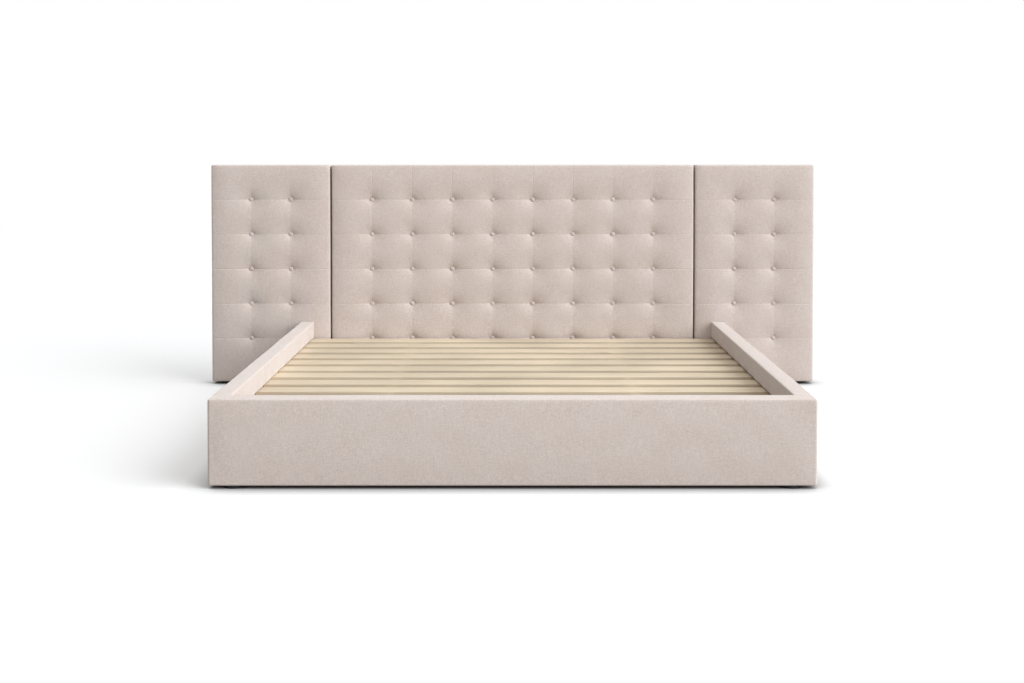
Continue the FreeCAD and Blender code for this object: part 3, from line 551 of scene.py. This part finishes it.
def settled_depth(low, high, seed):
    """How far the padding swells out past the tufted depth, on an even grid, with the grid's lines."""
    across, up = front_edges(low, high)
    xs = np.linspace(*across, round((high.x - low.x) / SETTLE_STEP))
    zs = np.linspace(*up, round((high.z - low.z) / SETTLE_STEP))
    x, z = np.meshgrid(xs, zs, indexing="ij")
    spots = np.stack([x, low.y + tufted_depth(x, z, low, high, seed), z], axis=2).reshape(-1, 3)
    hold = np.full(x.shape, FOAM_HOLD)
    base_low, base_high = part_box("side_rail_cover_left")[0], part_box("side_rail_cover_right")[1]
    margin = 0.01
    within = (x > base_low.x - margin) & (x < base_high.x + margin)
    hold[within & (z < base_high.z + margin)] = 1
    for column, row in product(*tufting(low, high)):
        hold[np.hypot(x - column, z - row) < SETTLE_STEP * 1.1] = 1
    hold[[0, -1], :] = 1
    hold[:, [0, -1]] = 1
    move = settled(spots, grid_faces(*x.shape), hold.ravel(), push=2.0, most=0.005)
    return move[:, 1].reshape(x.shape), xs, zs


def between_lines(values, xs, zs, x, z):
    """Values of an even grid at the points of a finer one."""
    finer = np.array([np.interp(z[0], zs, line) for line in values])
    return np.array([np.interp(x[:, 0], xs, line) for line in finer.T]).T


def rounded_outline(points, half, inset, corner):
    """Carry the outline of a panel's front out or in to a rectangle with rounded corners."""
    start = half - PANEL_EDGE * EDGE_SHARE
    goal = half - inset
    reach = np.abs(points)
    near = np.clip((reach - (start - PANEL_MARGIN)) / PANEL_MARGIN, 0, 1)
    reach = reach + near * (goal - start)
    beyond = np.clip((reach - (goal - corner)) / corner, 0, 1)
    both = (beyond > 0).all(axis=1)
    u, v = beyond[both].T
    curve = np.stack([u * np.sqrt(1 - v ** 2 / 2), v * np.sqrt(1 - u ** 2 / 2)], axis=1)
    reach[both] = goal - corner + corner * curve
    return np.sign(points) * reach


def pad_steps(thick):
    """Outlines behind a pad's front: insets, depth, and shares of the front's and the sides' relief."""
    steps = []
    first_sine, first_cosine = sine_cosine(EDGE_START)
    for angle in np.linspace(EDGE_START, 90, EDGE_POINTS)[1:]:
        sine, cosine = sine_cosine(angle)
        sine = (sine - first_sine) / (1 - first_sine)
        cosine = cosine / first_cosine
        steps.append((PANEL_EDGE * (1 - sine) * EDGE_SHARE, PANEL_EDGE * (1 - cosine), cosine, sine))
    for depth in np.linspace(SIDE_START, thick - SIDE_END, SIDE_ROWS):
        steps.append((0.0, depth, 0.0, 1.0))
    for angle in (30, 60, 90):
        sine, cosine = sine_cosine(angle)
        steps.append((PAD_HEM_EDGE * (1 - cosine), thick - PAD_HEM_START + PAD_HEM_EDGE * sine, 0.0, cosine))
    for inset, behind in PAD_HEM:
        steps.append((inset, thick + behind, 0.0, 0.0))
    steps.append((*POCKET, 0.0, 0.0))
    return steps


def panel_pad(name, seed):
    """A tufted front, rounded edges, sides, a hem turned in behind, and a pocket for the board and frame."""
    low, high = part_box(f"headboard_{name}_pad")
    middle = (low + high) / 2
    half = np.array([high.x - low.x, high.z - low.z]) / 2
    columns, rows = tufting(low, high)
    across, up = front_edges(low, high)
    x, z = np.meshgrid(grid_lines(*across, columns), grid_lines(*up, rows), indexing="ij")
    depth = tufted_depth(x, z, low, high, seed) + between_lines(*settled_depth(low, high, seed), x, z)
    front = np.stack([x, low.y + depth, z], axis=2).reshape(-1, 3)
    spots = [front]
    faces = grid_faces(*x.shape)

    rim = grid_rim(*x.shape)
    points = front[rim][:, [0, 2]] - np.array([middle.x, middle.z])
    rim_depth = front[rim][:, 1] - low.y
    level = np.isclose(np.abs(points[:, 1]), up[1] - middle.z)
    to_column = nearest(points[:, 0] + middle.x, columns)
    to_row = nearest(points[:, 1] + middle.z, rows)
    dip = seam_dip(np.where(level, to_column, to_row))

    start, last = len(front), rim
    for inset, y, front_share, side_share in pad_steps(high.y - low.y):
        corner = max(CORNER_LEAST, PANEL_CORNER * (1 - np.max(inset) / CORNER_REACH))
        outline = rounded_outline(points, half, inset, corner)
        outward = np.where(level[:, None], [0.0, 1.0], [1.0, 0.0]) * np.sign(outline)
        soft = SIDE_RIPPLE * ripple(seed + 3, outline[:, 0], outline[:, 1] + 3 * y) * side_share
        outline = outline - outward * (dip * side_share - soft)[:, None]
        ring_y = low.y + y + rim_depth * front_share
        spots.append(np.stack([middle.x + outline[:, 0], ring_y, middle.z + outline[:, 1]], 1))
        ring = list(range(start, start + len(rim)))
        faces += zip(last, last[1:] + last[:1], ring[1:] + ring[:1], ring)
        start, last = start + len(rim), ring
    faces.append(last)
    piece = mesh_object(f"headboard_{name}_cushion", np.concatenate(spots), faces, "upholstery", sharp=50)
    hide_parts(f"headboard_{name}_pad")
    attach(piece, "bed")


# Covered buttons

# Rings from the top down: radius and height, and the height of the top
BUTTON_PROFILE = ((0.0026, 0.0043), (0.0052, 0.0040), (0.0074, 0.0033), (0.0091, 0.0022), (0.0102, 0.0006),
                  (0.0106, -0.0010), (0.0102, -0.0022), (0.0090, -0.0026))
BUTTON_TOP = 0.0044
BUTTON_SIDES = 36
# Gathers round the rim: number, depth as a share, and where they begin
BUTTON_GATHERS = 12
GATHER_DEPTH = 0.022
GATHER_START = 0.006
# The most that a button leans
BUTTON_LEAN = 0.05


def panel_buttons(name, seed):
    """Domed buttons covered in the same cloth, gathered at their rims."""
    chance = random.Random(seed)
    low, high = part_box(f"headboard_{name}_pad")
    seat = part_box(f"headboard_{name}_buttons")[1].y
    spots, faces = [], []
    for column, row in product(*tufting(low, high)):
        first = len(spots)
        turn = chance.uniform(0, FULL_TURN)
        lean_x = chance.uniform(-BUTTON_LEAN, BUTTON_LEAN)
        lean_z = chance.uniform(-BUTTON_LEAN, BUTTON_LEAN)
        spots.append((column, seat - BUTTON_TOP, row))
        for radius, height in BUTTON_PROFILE:
            share = max(0.0, (radius - GATHER_START) / GATHER_START)
            for k in range(BUTTON_SIDES):
                angle = math.tau * k / BUTTON_SIDES
                gather = 1 - GATHER_DEPTH * share * (1 + math.cos(BUTTON_GATHERS * angle + turn)) / 2
                dx, dz = radius * gather * math.cos(angle), radius * gather * math.sin(angle)
                spots.append((column + dx, seat - height + lean_x * dx + lean_z * dz, row + dz))
        faces += [(first, first + 1 + k, first + 1 + (k + 1) % BUTTON_SIDES) for k in range(BUTTON_SIDES)]
        rings = [first + 1 + ring * BUTTON_SIDES for ring in range(len(BUTTON_PROFILE))]
        for upper, lower in zip(rings, rings[1:]):
            faces += loop_faces(upper, lower, BUTTON_SIDES)
        faces.append(list(range(rings[-1], rings[-1] + BUTTON_SIDES)))
    piece = mesh_object(f"headboard_{name}_covered_buttons", spots, faces, "upholstery", sharp=60)
    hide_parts(f"headboard_{name}_buttons")
    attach(piece, "bed")


# Padded rails

# Padding: thickness, reach into the core, and its rise above the solid's top
RAIL_PADDING = 0.015
CORE_REACH = 0.0003
RAIL_RISE = 0.0025
# Radius of the top edges and of the foot rail's ends, and the least within these
RAIL_EDGE = 0.005
RAIL_END = 0.009
LEAST_EDGE = 0.0008
# The lap inside: height, and radius of its edge
RAIL_LAP = 0.076 + RAIL_RISE
LAP_EDGE = 0.006
# The hem: edge, how far its outside and its inside lie under the rail, and width
HEM_EDGE = 0.006
HEM_DROP = 0.001
HEM_INSIDE = 0.0001
HEM_WIDTH = 0.040
# The lean of a front under its top edge: depth, height and points
TOP_LEAN = 0.0015
TOP_LEAN_REACH = 0.0075
LEAN_POINTS = 5
# Points of a profile: hem, front, where they gather upwards, bends, lap and core
HEM_RUN_POINTS = 4
HEM_BEND_POINTS = 7
HEM_POINTS = HEM_RUN_POINTS + HEM_BEND_POINTS
FRONT_POINTS = 30
FRONT_GATHER = 1.8
BEND_POINTS = 8
LAP_RUN_POINTS = 7
LAP_BEND_POINTS = 5
CORE_POINTS = (2, 3, 3, 5, 2)
# The height where unevenness begins, and how much further up it is whole
SWELL_START = 0.03
SWELL_RISE = 0.06
# A side rail's ends: radius, places of the profiles there, and where the even ones begin
SIDE_END_EDGE = 0.005
SIDE_END_PLACES = (0.0, 0.0006, 0.0016, 0.003, 0.005)
SIDE_EVEN_START = 0.014
# How far from the foot rail's walls its crown and its unevenness are whole
FOOT_CROWN_REACH = 0.25
FOOT_SWELL_REACH = 0.08
# Its ends: play at the wall, the step past it, insets of the flat part, and its bulge
WALL_PLAY = 0.0005
WALL_STEP = 0.0001
END_INSETS = (0.016, 0.024, 0.032, 0.040)
END_BULGE = 0.0008
END_BULGE_REACH = 0.032


def run(start, end, count):
    """Points along a straight stretch, without its end."""
    return np.linspace(start, end, count, endpoint=False)


def bend(centre, radius, start, end, count):
    """Points along an arc, without its end. Angles in degrees."""
    angles = np.radians(np.linspace(start, end, count, endpoint=False))
    return np.array(centre) + radius * np.stack([np.cos(angles), np.sin(angles)], axis=1)


def front_and_edge(near, low, top, edge, crown):
    """A rail's front from hem to top: crowned, leaning back under the top edge and rounded over it."""
    lean = math.atan(TOP_LEAN / TOP_LEAN_REACH)
    centre = (near + TOP_LEAN + edge * math.cos(lean), top - edge)
    high = centre[1] + edge * math.sin(lean)
    share = 1 - (1 - np.linspace(0, 1, FRONT_POINTS, endpoint=False)) ** FRONT_GATHER
    to_top = (high - low) * (1 - share)
    x = near - crown * np.sin(math.pi * share) ** 0.8 + TOP_LEAN * np.exp(-to_top / TOP_LEAN_REACH)
    front = np.stack([x, high - to_top], axis=1)
    rounded = bend(centre, edge, 180 - math.degrees(lean), 90, BEND_POINTS)
    return np.concatenate([front, rounded]), centre[0]


def rail_profile(depth, height, crown):
    """A rail cover cut across, from hem to lap and round the core, and the number of its outer points."""
    front, top_start = front_and_edge(0, HEM_EDGE, height, RAIL_EDGE, crown)
    top = run((top_start, height), (depth - RAIL_EDGE, height), BEND_POINTS)
    top[:, 1] += crown / 3 * np.sin(np.linspace(0, math.pi, BEND_POINTS, endpoint=False))
    lap = height - RAIL_LAP
    outer = np.concatenate([
        run((HEM_WIDTH, -HEM_DROP), (HEM_EDGE, -HEM_DROP), HEM_RUN_POINTS),
        bend((HEM_EDGE, HEM_EDGE - HEM_DROP), HEM_EDGE, 270, 180, HEM_BEND_POINTS),
        front,
        top,
        bend((depth - RAIL_EDGE, height - RAIL_EDGE), RAIL_EDGE, 90, 0, BEND_POINTS),
        run((depth, height - RAIL_EDGE), (depth, lap + LAP_EDGE), LAP_RUN_POINTS),
        bend((depth - LAP_EDGE, lap + LAP_EDGE), LAP_EDGE, 0, -90, LAP_BEND_POINTS),
    ])
    core_left, core_right = RAIL_PADDING - CORE_REACH, depth - RAIL_PADDING + CORE_REACH
    core_top = height - RAIL_RISE - RAIL_PADDING + CORE_REACH
    corners = [(depth - LAP_EDGE, lap), (core_right, lap), (core_right, core_top), (core_left, core_top),
               (core_left, -HEM_INSIDE), (HEM_WIDTH, -HEM_INSIDE)]
    inner = [run(*stretch) for stretch in zip(corners, corners[1:], CORE_POINTS)]
    return np.concatenate([outer, *inner]), len(outer)


def normals(profile):
    """Outward directions of a profile that runs clockwise."""
    along = np.roll(profile, -1, axis=0) - np.roll(profile, 1, axis=0)
    along /= np.linalg.norm(along, axis=1)[:, None]
    return np.stack([-along[:, 1], along[:, 0]], axis=1)


def swell(points, away, seed, along, share, size, most):
    """Push points out unevenly, except near the floor."""
    out = size * ripple(seed, np.full(len(points), along), 2 * points[:, 1])
    out *= np.clip((points[:, 1] - SWELL_START) / SWELL_RISE, 0, 1) * share
    points += away * np.minimum(out, most)[:, None]


def rail_piece(name, loops, outer):
    """Cover a rail: the padding swells a little where nothing holds the cloth."""
    loops = np.asarray(loops)
    rows, count = loops.shape[:2]
    faces = loft_faces(rows, count)
    hold = np.ones((rows, count))
    end_rows = 14
    hold[end_rows:-end_rows, HEM_POINTS:outer - LAP_BEND_POINTS - 1] = FOAM_HOLD
    front_end = HEM_POINTS + FRONT_POINTS
    for bend_start, before in ((front_end, LEAN_POINTS), (front_end + 2 * BEND_POINTS, 1)):
        hold[:, bend_start - before:bend_start + BEND_POINTS + 1] = 1
    spots = loops.reshape(-1, 3)
    spots = spots + settled(spots, faces, hold.ravel(), push=1.5, most=0.003, closed=True)
    return mesh_object(name, spots, faces, "upholstery", sharp=50)


def side_rail(name, side, seed):
    """A side rail's cover, open underneath."""
    low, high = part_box(f"side_rail_cover_{name}")
    profile, outer = rail_profile(high.x - low.x, high.z - low.z + RAIL_RISE, crown=0.0016)
    away = normals(profile)[:outer]
    ys = [low.y + end for end in SIDE_END_PLACES]
    ys += list(np.linspace(low.y + SIDE_EVEN_START, high.y - SIDE_EVEN_START, num=180))
    ys += [high.y - end for end in reversed(SIDE_END_PLACES)]
    loops = []
    for y in ys:
        within = max(0.0, SIDE_END_EDGE - min(y - low.y, high.y - y))
        inset = SIDE_END_EDGE - math.sqrt(SIDE_END_EDGE ** 2 - within ** 2)
        loop = profile.copy()
        loop[:outer] -= away * inset
        swell(loop[:outer], away, seed, y, 1 - inset / SIDE_END_EDGE, size=0.0005, most=0.0006)
        x = (low.x + loop[:, 0]) if side < 0 else (high.x - loop[:, 0])
        loops.append(np.stack([x, np.full(len(loop), y), low.z + loop[:, 1]], axis=1))
    piece = rail_piece(f"side_rail_{name}_upholstery", loops, outer)
    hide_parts(f"side_rail_cover_{name}")
    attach(piece, "bed")


def full_profile(depth, height, inset):
    """The closed end of the foot rail, drawn in all round, with as many points as the open profile."""
    edge = max(LEAST_EDGE, RAIL_EDGE - inset)
    hem = max(LEAST_EDGE, HEM_EDGE - inset)
    near, far, bottom, top = inset, depth - inset, inset - HEM_DROP, height - inset
    hem_end = min(HEM_WIDTH, (near + far) / 2)
    front, top_start = front_and_edge(near, bottom + hem, top, edge, crown=0.0)
    return np.concatenate([
        run((hem_end, bottom), (near + hem, bottom), HEM_RUN_POINTS),
        bend((near + hem, bottom + hem), hem, 270, 180, HEM_BEND_POINTS),
        front,
        run((top_start, top), (far - edge, top), BEND_POINTS),
        bend((far - edge, top - edge), edge, 90, 0, BEND_POINTS),
        run((far, top - edge), (far, bottom + hem), LAP_RUN_POINTS + LAP_BEND_POINTS),
        bend((far - hem, bottom + hem), hem, 0, -90, LAP_BEND_POINTS),
        run((far - hem, bottom), (hem_end, bottom), sum(CORE_POINTS) - LAP_BEND_POINTS),
    ])


def foot_rail(seed):
    """The foot rail's cover, with closed ends that wrap round the corners of the base."""
    low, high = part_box("foot_rail_cover")
    depth, height = high.y - low.y, high.z - low.z + RAIL_RISE
    profile, outer = rail_profile(depth, height, crown=0.0)
    crowned = rail_profile(depth, height, crown=0.0018)[0]
    away = normals(profile)[:outer]
    half = high.x
    wall = half - RAIL_PADDING + WALL_PLAY

    def loop_at(points, x):
        return np.stack([np.full(len(points), x), low.y + points[:, 0], low.z + points[:, 1]], axis=1)

    middle = []
    for x in np.linspace(-wall, wall, num=190):
        to_wall = wall - abs(x)
        points = profile + (crowned - profile) * math.sin(math.pi / 2 * min(1.0, to_wall / FOOT_CROWN_REACH))
        swell(points[:outer], away, seed, x, min(1.0, to_wall / FOOT_SWELL_REACH), size=0.0006, most=0.0008)
        middle.append(loop_at(points, x))
    end = [(wall + WALL_STEP, 0.0)]
    for angle in np.linspace(0, 90, BEND_POINTS):
        sine, cosine = sine_cosine(angle)
        end.append((half - RAIL_END + RAIL_END * sine, RAIL_END * (1 - cosine)))
    for inset in END_INSETS:
        end.append((half + END_BULGE * math.sin((inset - RAIL_END) / END_BULGE_REACH * math.pi / 2), inset))
    caps = [loop_at(full_profile(depth, height, inset), x) for x, inset in end]
    mirrored = [cap * np.array([-1, 1, 1]) for cap in reversed(caps)]
    piece = rail_piece("foot_rail_upholstery", [*mirrored, *middle, *caps], outer)
    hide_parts("foot_rail_cover")
    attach(piece, "bed")


# Dust covers and straps

# A dust cover: grid, thickness, and how far it lies within the solid
DUST_STEP = 0.02
DUST_THICKNESS = 0.0004
DUST_INSET = 0.0002
# Its slack, and how far in that is whole
DUST_SLACK = 0.0004
DUST_SLACK_REACH = 0.12
# Its rucks: depth, length, reach, and how soon they begin
RUCK_DEPTH = 0.0003
RUCK_LENGTH = 0.13
RUCK_REACH = 0.03
RUCK_START = 0.01
# A staple: places along its crown with their rise, section, how deep it sits, and width
STAPLE_BENDS = ((-0.5, -0.6), (-0.47, 0.4), (-0.40, 1.0), (0.40, 1.0), (0.47, 0.4), (0.5, -0.6))
STAPLE_SECTION = ((-0.5, 0.0), (-0.3, 0.5), (0.3, 0.5), (0.5, 0.0), (0.0, -0.5))
STAPLE_SINK = 0.2
STAPLE_WIDTH = 0.0013
# Those round a dust cover: inset, gap, and the most that one is off along, in turn and across
STAPLE_INSET = 0.008
STAPLE_GAP = 0.065
STAPLE_STRAY = 0.1
STAPLE_TILT = 0.08
STAPLE_OFFSET = 0.0015
# A strap: size, sag between slats, step along, and play under the slats
STRAP_WIDTH = 0.030
STRAP_THICKNESS = 0.0014
STRAP_SAG = 0.0035
STRAP_STEP = 0.004
STRAP_PLAY = 0.0001
# Its section: places across, and height in thicknesses
STRAP_SECTION = ((-0.015, -0.5), (-0.0149, -0.12), (-0.0140, 0.0), (-0.005, -0.1), (0.005, -0.1),
                 (0.0140, 0.0), (0.0149, -0.12), (0.015, -0.5), (0.0149, -0.88), (0.0140, -1.0),
                 (0.005, -0.9), (-0.005, -0.9), (-0.0140, -1.0), (-0.0149, -0.88))
# Its staples: places as shares of a slat's width, and their direction
STRAP_STAPLES = (0.3, 0.7)
STRAP_STAPLE_ALONG = (0.97, 0.24, 0)


def dust_cover(name, seed):
    """A sheet of non-woven cloth stretched over the back of a panel."""
    low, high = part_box(f"headboard_{name}_dust_cover")
    wide, tall = round((high.x - low.x) / DUST_STEP), round((high.z - low.z) / DUST_STEP)
    x, z = np.meshgrid(np.linspace(low.x, high.x, wide), np.linspace(low.z, high.z, tall), indexing="ij")
    to_edge = np.minimum(nearest(x, (low.x, high.x)), nearest(z, (low.z, high.z)))
    slack = np.clip(to_edge / DUST_SLACK_REACH, 0, 1)
    rucks = np.sin(math.tau * (x + z) / RUCK_LENGTH) * np.exp(-to_edge / RUCK_REACH)
    rucks = rucks * np.clip(to_edge / RUCK_START, 0, 1)
    back = high.y - DUST_INSET - DUST_SLACK * slack * (1 + ripple(seed, x, z)) - RUCK_DEPTH * np.abs(rucks)
    count = wide * tall
    spots = [np.stack([x, y, z], 2).reshape(-1, 3) for y in (back, back - DUST_THICKNESS)]
    faces = []
    for quad in grid_faces(wide, tall):
        faces += [quad, tuple(count + k for k in reversed(quad))]
    rim = grid_rim(wide, tall)
    for a, b in zip(rim, rim[1:] + rim[:1]):
        faces.append((a, b, count + b, count + a))
    piece = mesh_object(f"headboard_{name}_dust_sheet", np.concatenate(spots), faces, "dust_cloth", sharp=60)
    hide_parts(f"headboard_{name}_dust_cover")
    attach(piece, "bed")


def staples(name, places, out, crown, drop):
    """Staple crowns: rounded bars that face one way, each with its place and direction."""
    out = Vector(out)
    spots, faces = [], []
    for place, along in places:
        along = Vector(along)
        side = along.cross(out)
        first = len(spots)
        for share, rise in STAPLE_BENDS:
            centre = Vector(place) + along * crown * share + out * drop * (rise - STAPLE_SINK)
            for across, lift in STAPLE_SECTION:
                spots.append(tuple(centre + side * STAPLE_WIDTH * across + out * drop * lift))
        for face in loft_faces(len(STAPLE_BENDS), len(STAPLE_SECTION)):
            faces.append([first + corner for corner in face])
    piece = mesh_object(name, spots, faces, "zinc_steel", sharp=60)
    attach(piece, "bed")


def edge_staples(chance, start, end):
    """Places of staples along an edge, with their turn and how far they are out of line."""
    count = round((end - start) / STAPLE_GAP)
    for k in range(count):
        along = start + (end - start) * (k + 0.5 + chance.uniform(-STAPLE_STRAY, STAPLE_STRAY)) / count
        tilt = chance.uniform(-STAPLE_TILT, STAPLE_TILT)
        yield along, tilt, chance.uniform(-STAPLE_OFFSET, STAPLE_OFFSET)


def cover_staples(name):
    """Staples round the edge of a dust cover, a little out of line as a hand sets them."""
    chance = random.Random(len(name))
    low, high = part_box(f"headboard_{name}_dust_cover")
    places = []
    for z in (low.z + STAPLE_INSET, high.z - STAPLE_INSET):
        for x, tilt, offset in edge_staples(chance, low.x, high.x):
            places.append(((x, high.y, z + offset), (math.cos(tilt), 0, math.sin(tilt))))
    for x in (low.x + STAPLE_INSET, high.x - STAPLE_INSET):
        for z, tilt, offset in edge_staples(chance, low.z, high.z):
            places.append(((x + offset, high.y, z), (math.sin(tilt), 0, math.cos(tilt))))
    staples(f"headboard_{name}_dust_sheet_staples", places, out=(0, 1, 0), crown=0.0105, drop=0.0006)


def strap(side, word):
    """A woven strap stapled under every slat, slack between them."""
    low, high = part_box("slat_webbing")
    boxes = [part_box(slat) for slat in SLATS]
    centre = side * (high.x - STRAP_WIDTH / 2)
    ys = np.arange(low.y, high.y + STRAP_STEP / 4, STRAP_STEP)
    drop = np.zeros_like(ys)
    for before, after in zip(boxes, boxes[1:]):
        share = np.clip((ys - before[1].y) / (after[0].y - before[1].y), 0, 1)
        drop += STRAP_SAG * np.sin(math.pi * share) ** 2
    top = high.z - STRAP_PLAY - drop
    spots = [(centre + x, y, z + share * STRAP_THICKNESS)
             for y, z in zip(ys, top) for x, share in STRAP_SECTION]
    faces = loft_faces(len(ys), len(STRAP_SECTION))
    piece = mesh_object(f"slat_strap_{word}", spots, faces, "webbing", sharp=60)
    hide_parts("slat_webbing")
    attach(piece, "bed")
    under = high.z - STRAP_THICKNESS - STRAP_PLAY
    places = []
    for slat_low, slat_high in boxes:
        for share in STRAP_STAPLES:
            y = slat_low.y + (slat_high.y - slat_low.y) * share
            if low.y < y < high.y:
                places.append(((centre, y, under), STRAP_STAPLE_ALONG))
    staples(f"slat_strap_{word}_staples", places, out=(0, 0, -1), crown=0.0125, drop=0.0007)


# Threaded levellers

THREAD_PITCH = 0.0015
THREAD_DEPTH = 0.0009
THREAD_SIDES = 28
THREAD_STEPS = 8
# Shares of half a pitch that crest and flank take up, and the chamfer at the ends
THREAD_CREST = 0.12
THREAD_FLANK = 0.76
ROD_CHAMFER = 0.0012


def leveller(word):
    """A rod with a rolled thread all along it and chamfered ends."""
    low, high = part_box(f"leveller_stem_{word}")
    centre = (low + high) / 2
    radius = (high.x - low.x) / 2
    zs = np.arange(low.z, high.z + 1e-6, THREAD_PITCH / THREAD_STEPS)
    spots = []
    for z in zs:
        to_end = min(z - low.z, high.z - z)
        for k in range(THREAD_SIDES):
            angle = math.tau * k / THREAD_SIDES
            wave = abs(((z - low.z) / THREAD_PITCH - k / THREAD_SIDES) % 1 - 0.5) * 2
            out = radius - THREAD_DEPTH * min(1, max(0, (wave - THREAD_CREST) / THREAD_FLANK))
            out = min(out, radius - ROD_CHAMFER + max(0, to_end))
            spots.append((centre.x + out * math.cos(angle), centre.y + out * math.sin(angle), z))
    faces = loft_faces(len(zs), THREAD_SIDES)
    piece = mesh_object(f"threaded_rod_{word}", spots, faces, "zinc_steel", sharp=35)
    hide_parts(f"leveller_stem_{word}")
    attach(piece, f"leveller_stem_{word}")


leveller("foot")
leveller("head")
for part in PANELS:
    cover_staples(part)
strap(-1, "left")
strap(1, "right")
for index, part in enumerate(PANELS):
    panel_pad(part, seed=10 + index)
    panel_buttons(part, seed=40 + index)
    dust_cover(part, seed=70 + index)
side_rail("left", -1, seed=101)
side_rail("right", 1, seed=102)
foot_rail(seed=103)

# The nodes that stay as they are take their slot's material, with the grain along the longer side
slots = {item["node"]: item["material_slot"] for item in frame["record"]["subparts"]}
for node_name, node in frame["nodes"].items():
    slot_name = slots[node_name]
    low_corner, high_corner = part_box(node_name)
    if slot_name == "softwood" and high_corner.x - low_corner.x > high_corner.y - low_corner.y:
        slot_name = "softwood_across"
    node.data.materials.clear()
    node.data.materials.append(FINISHES[slot_name])


# Floor, light and camera

# The main light, from the front towards the right
KEY_AZIMUTH = 68
KEY_ELEVATION = 31
KEY_DISTANCE = 8.0


def white_for_camera(nodes, lit, white):
    """One shader for the light, and another for the camera and reflections."""
    rays = nodes.add("LightPath").outputs
    seen = nodes.math("MAXIMUM", rays["Is Camera Ray"], rays["Is Glossy Ray"])
    seen = nodes.math("MAXIMUM", seen, rays["Is Transmission Ray"])
    return nodes.blend(seen, lit, white)


def make_world():
    """White to the camera, and a softer light on the bed."""
    scene.world = bpy.data.worlds.new("studio")
    sky = Nodes(scene.world)
    lit = sky.tree.nodes["Background"]
    sky.feed(lit.inputs["Color"], (1.0, 0.99, 0.98, 1))
    sky.feed(lit.inputs["Strength"], 0.52)
    white = sky.add("Background", {"Color": (1, 1, 1, 1), "Strength": 1.0})
    shown = white_for_camera(sky, lit.outputs[0], white.outputs[0])
    sky.feed(sky.tree.nodes["World Output"].inputs[0], shown)


def make_floor():
    """A pale floor, white away from the bed where it is given a painted glow, and painted dark close under
    it, that doesn't show from below.
    """
    half = 14.0
    corners = [(-half, -half, 0), (half, -half, 0), (half, half, 0), (-half, half, 0)]
    floor = add_object("floor", new_mesh("floor", corners, [(0, 1, 2, 3)], outward=False))
    look = Look("pale_floor")
    # Painted shade: the floor's colour darkens where the bed is close, as a painted contact shadow
    painted_contact_shade = look.add("AmbientOcclusion", {"Distance": 0.115}).outputs["AO"]
    look.shade(Base_Color=look.spread(painted_contact_shade, 0.50, 1.0, 0.25, 0.90), Roughness=1.0, Specular_IOR_Level=0.0)
    # Painted light: the floor glows more the further it is from the bed, which lifts its shadow
    open_air = look.add("AmbientOcclusion", {"Distance": 0.30}).outputs["AO"]
    painted_glow = look.add("Emission").outputs[0]
    soft = look.blend(look.spread(open_air, 0.25, 0.75, 0.0, 0.42), look.shader.outputs[0], painted_glow)
    lit = look.add("BsdfDiffuse", {"Color": (0.42, 0.40, 0.385, 1)}).outputs[0]
    above = white_for_camera(look, lit, soft)
    from_below = look.add("NewGeometry").outputs["Backfacing"]
    shown = look.blend(from_below, above, look.add("BsdfTransparent").outputs[0])
    look.feed(look.tree.nodes["Material Output"].inputs[0], shown)
    floor.data.materials.append(look.material)


def make_lamp(name, kind, place, target, **settings):
    lamp = bpy.data.lights.new(name, kind)
    set_all(lamp, **settings)
    holder = add_object(name, lamp)
    holder.location = place
    holder.rotation_euler = (Vector(target) - Vector(place)).to_track_quat("-Z", "Y").to_euler()


def make_lights():
    """Broad light from far off, high on the right, and a softbox that stands nearer."""
    (side, front), (rise, level) = sine_cosine(KEY_AZIMUTH), sine_cosine(KEY_ELEVATION)
    far_off = Vector((level * side, -level * front, rise)) * KEY_DISTANCE
    make_lamp("key", "SUN", far_off, (0, 0, 0), angle=math.radians(60), color=(0.97, 1.0, 1.03), energy=3.92)
    make_lamp("softbox", "AREA", (0.9, -1.9, 2.7), (0.0, 1.0, 0.7), shape="DISK", size=2.0, energy=22)


def make_camera():
    """The photo's view: almost level from above the headboard's top, shifted down."""
    camera = bpy.data.cameras.new("camera")
    set_all(camera, lens=48.95, sensor_width=36.0, shift_x=-0.0007, shift_y=-0.157)
    scene.camera = add_object("camera", camera)
    scene.camera.location = (0.0006, -5.8755, 1.178)
    scene.camera.rotation_euler = (math.radians(88.6), 0, 0)


make_world()
make_floor()
make_lights()
make_camera()
scene.view_settings.view_transform = "Standard"
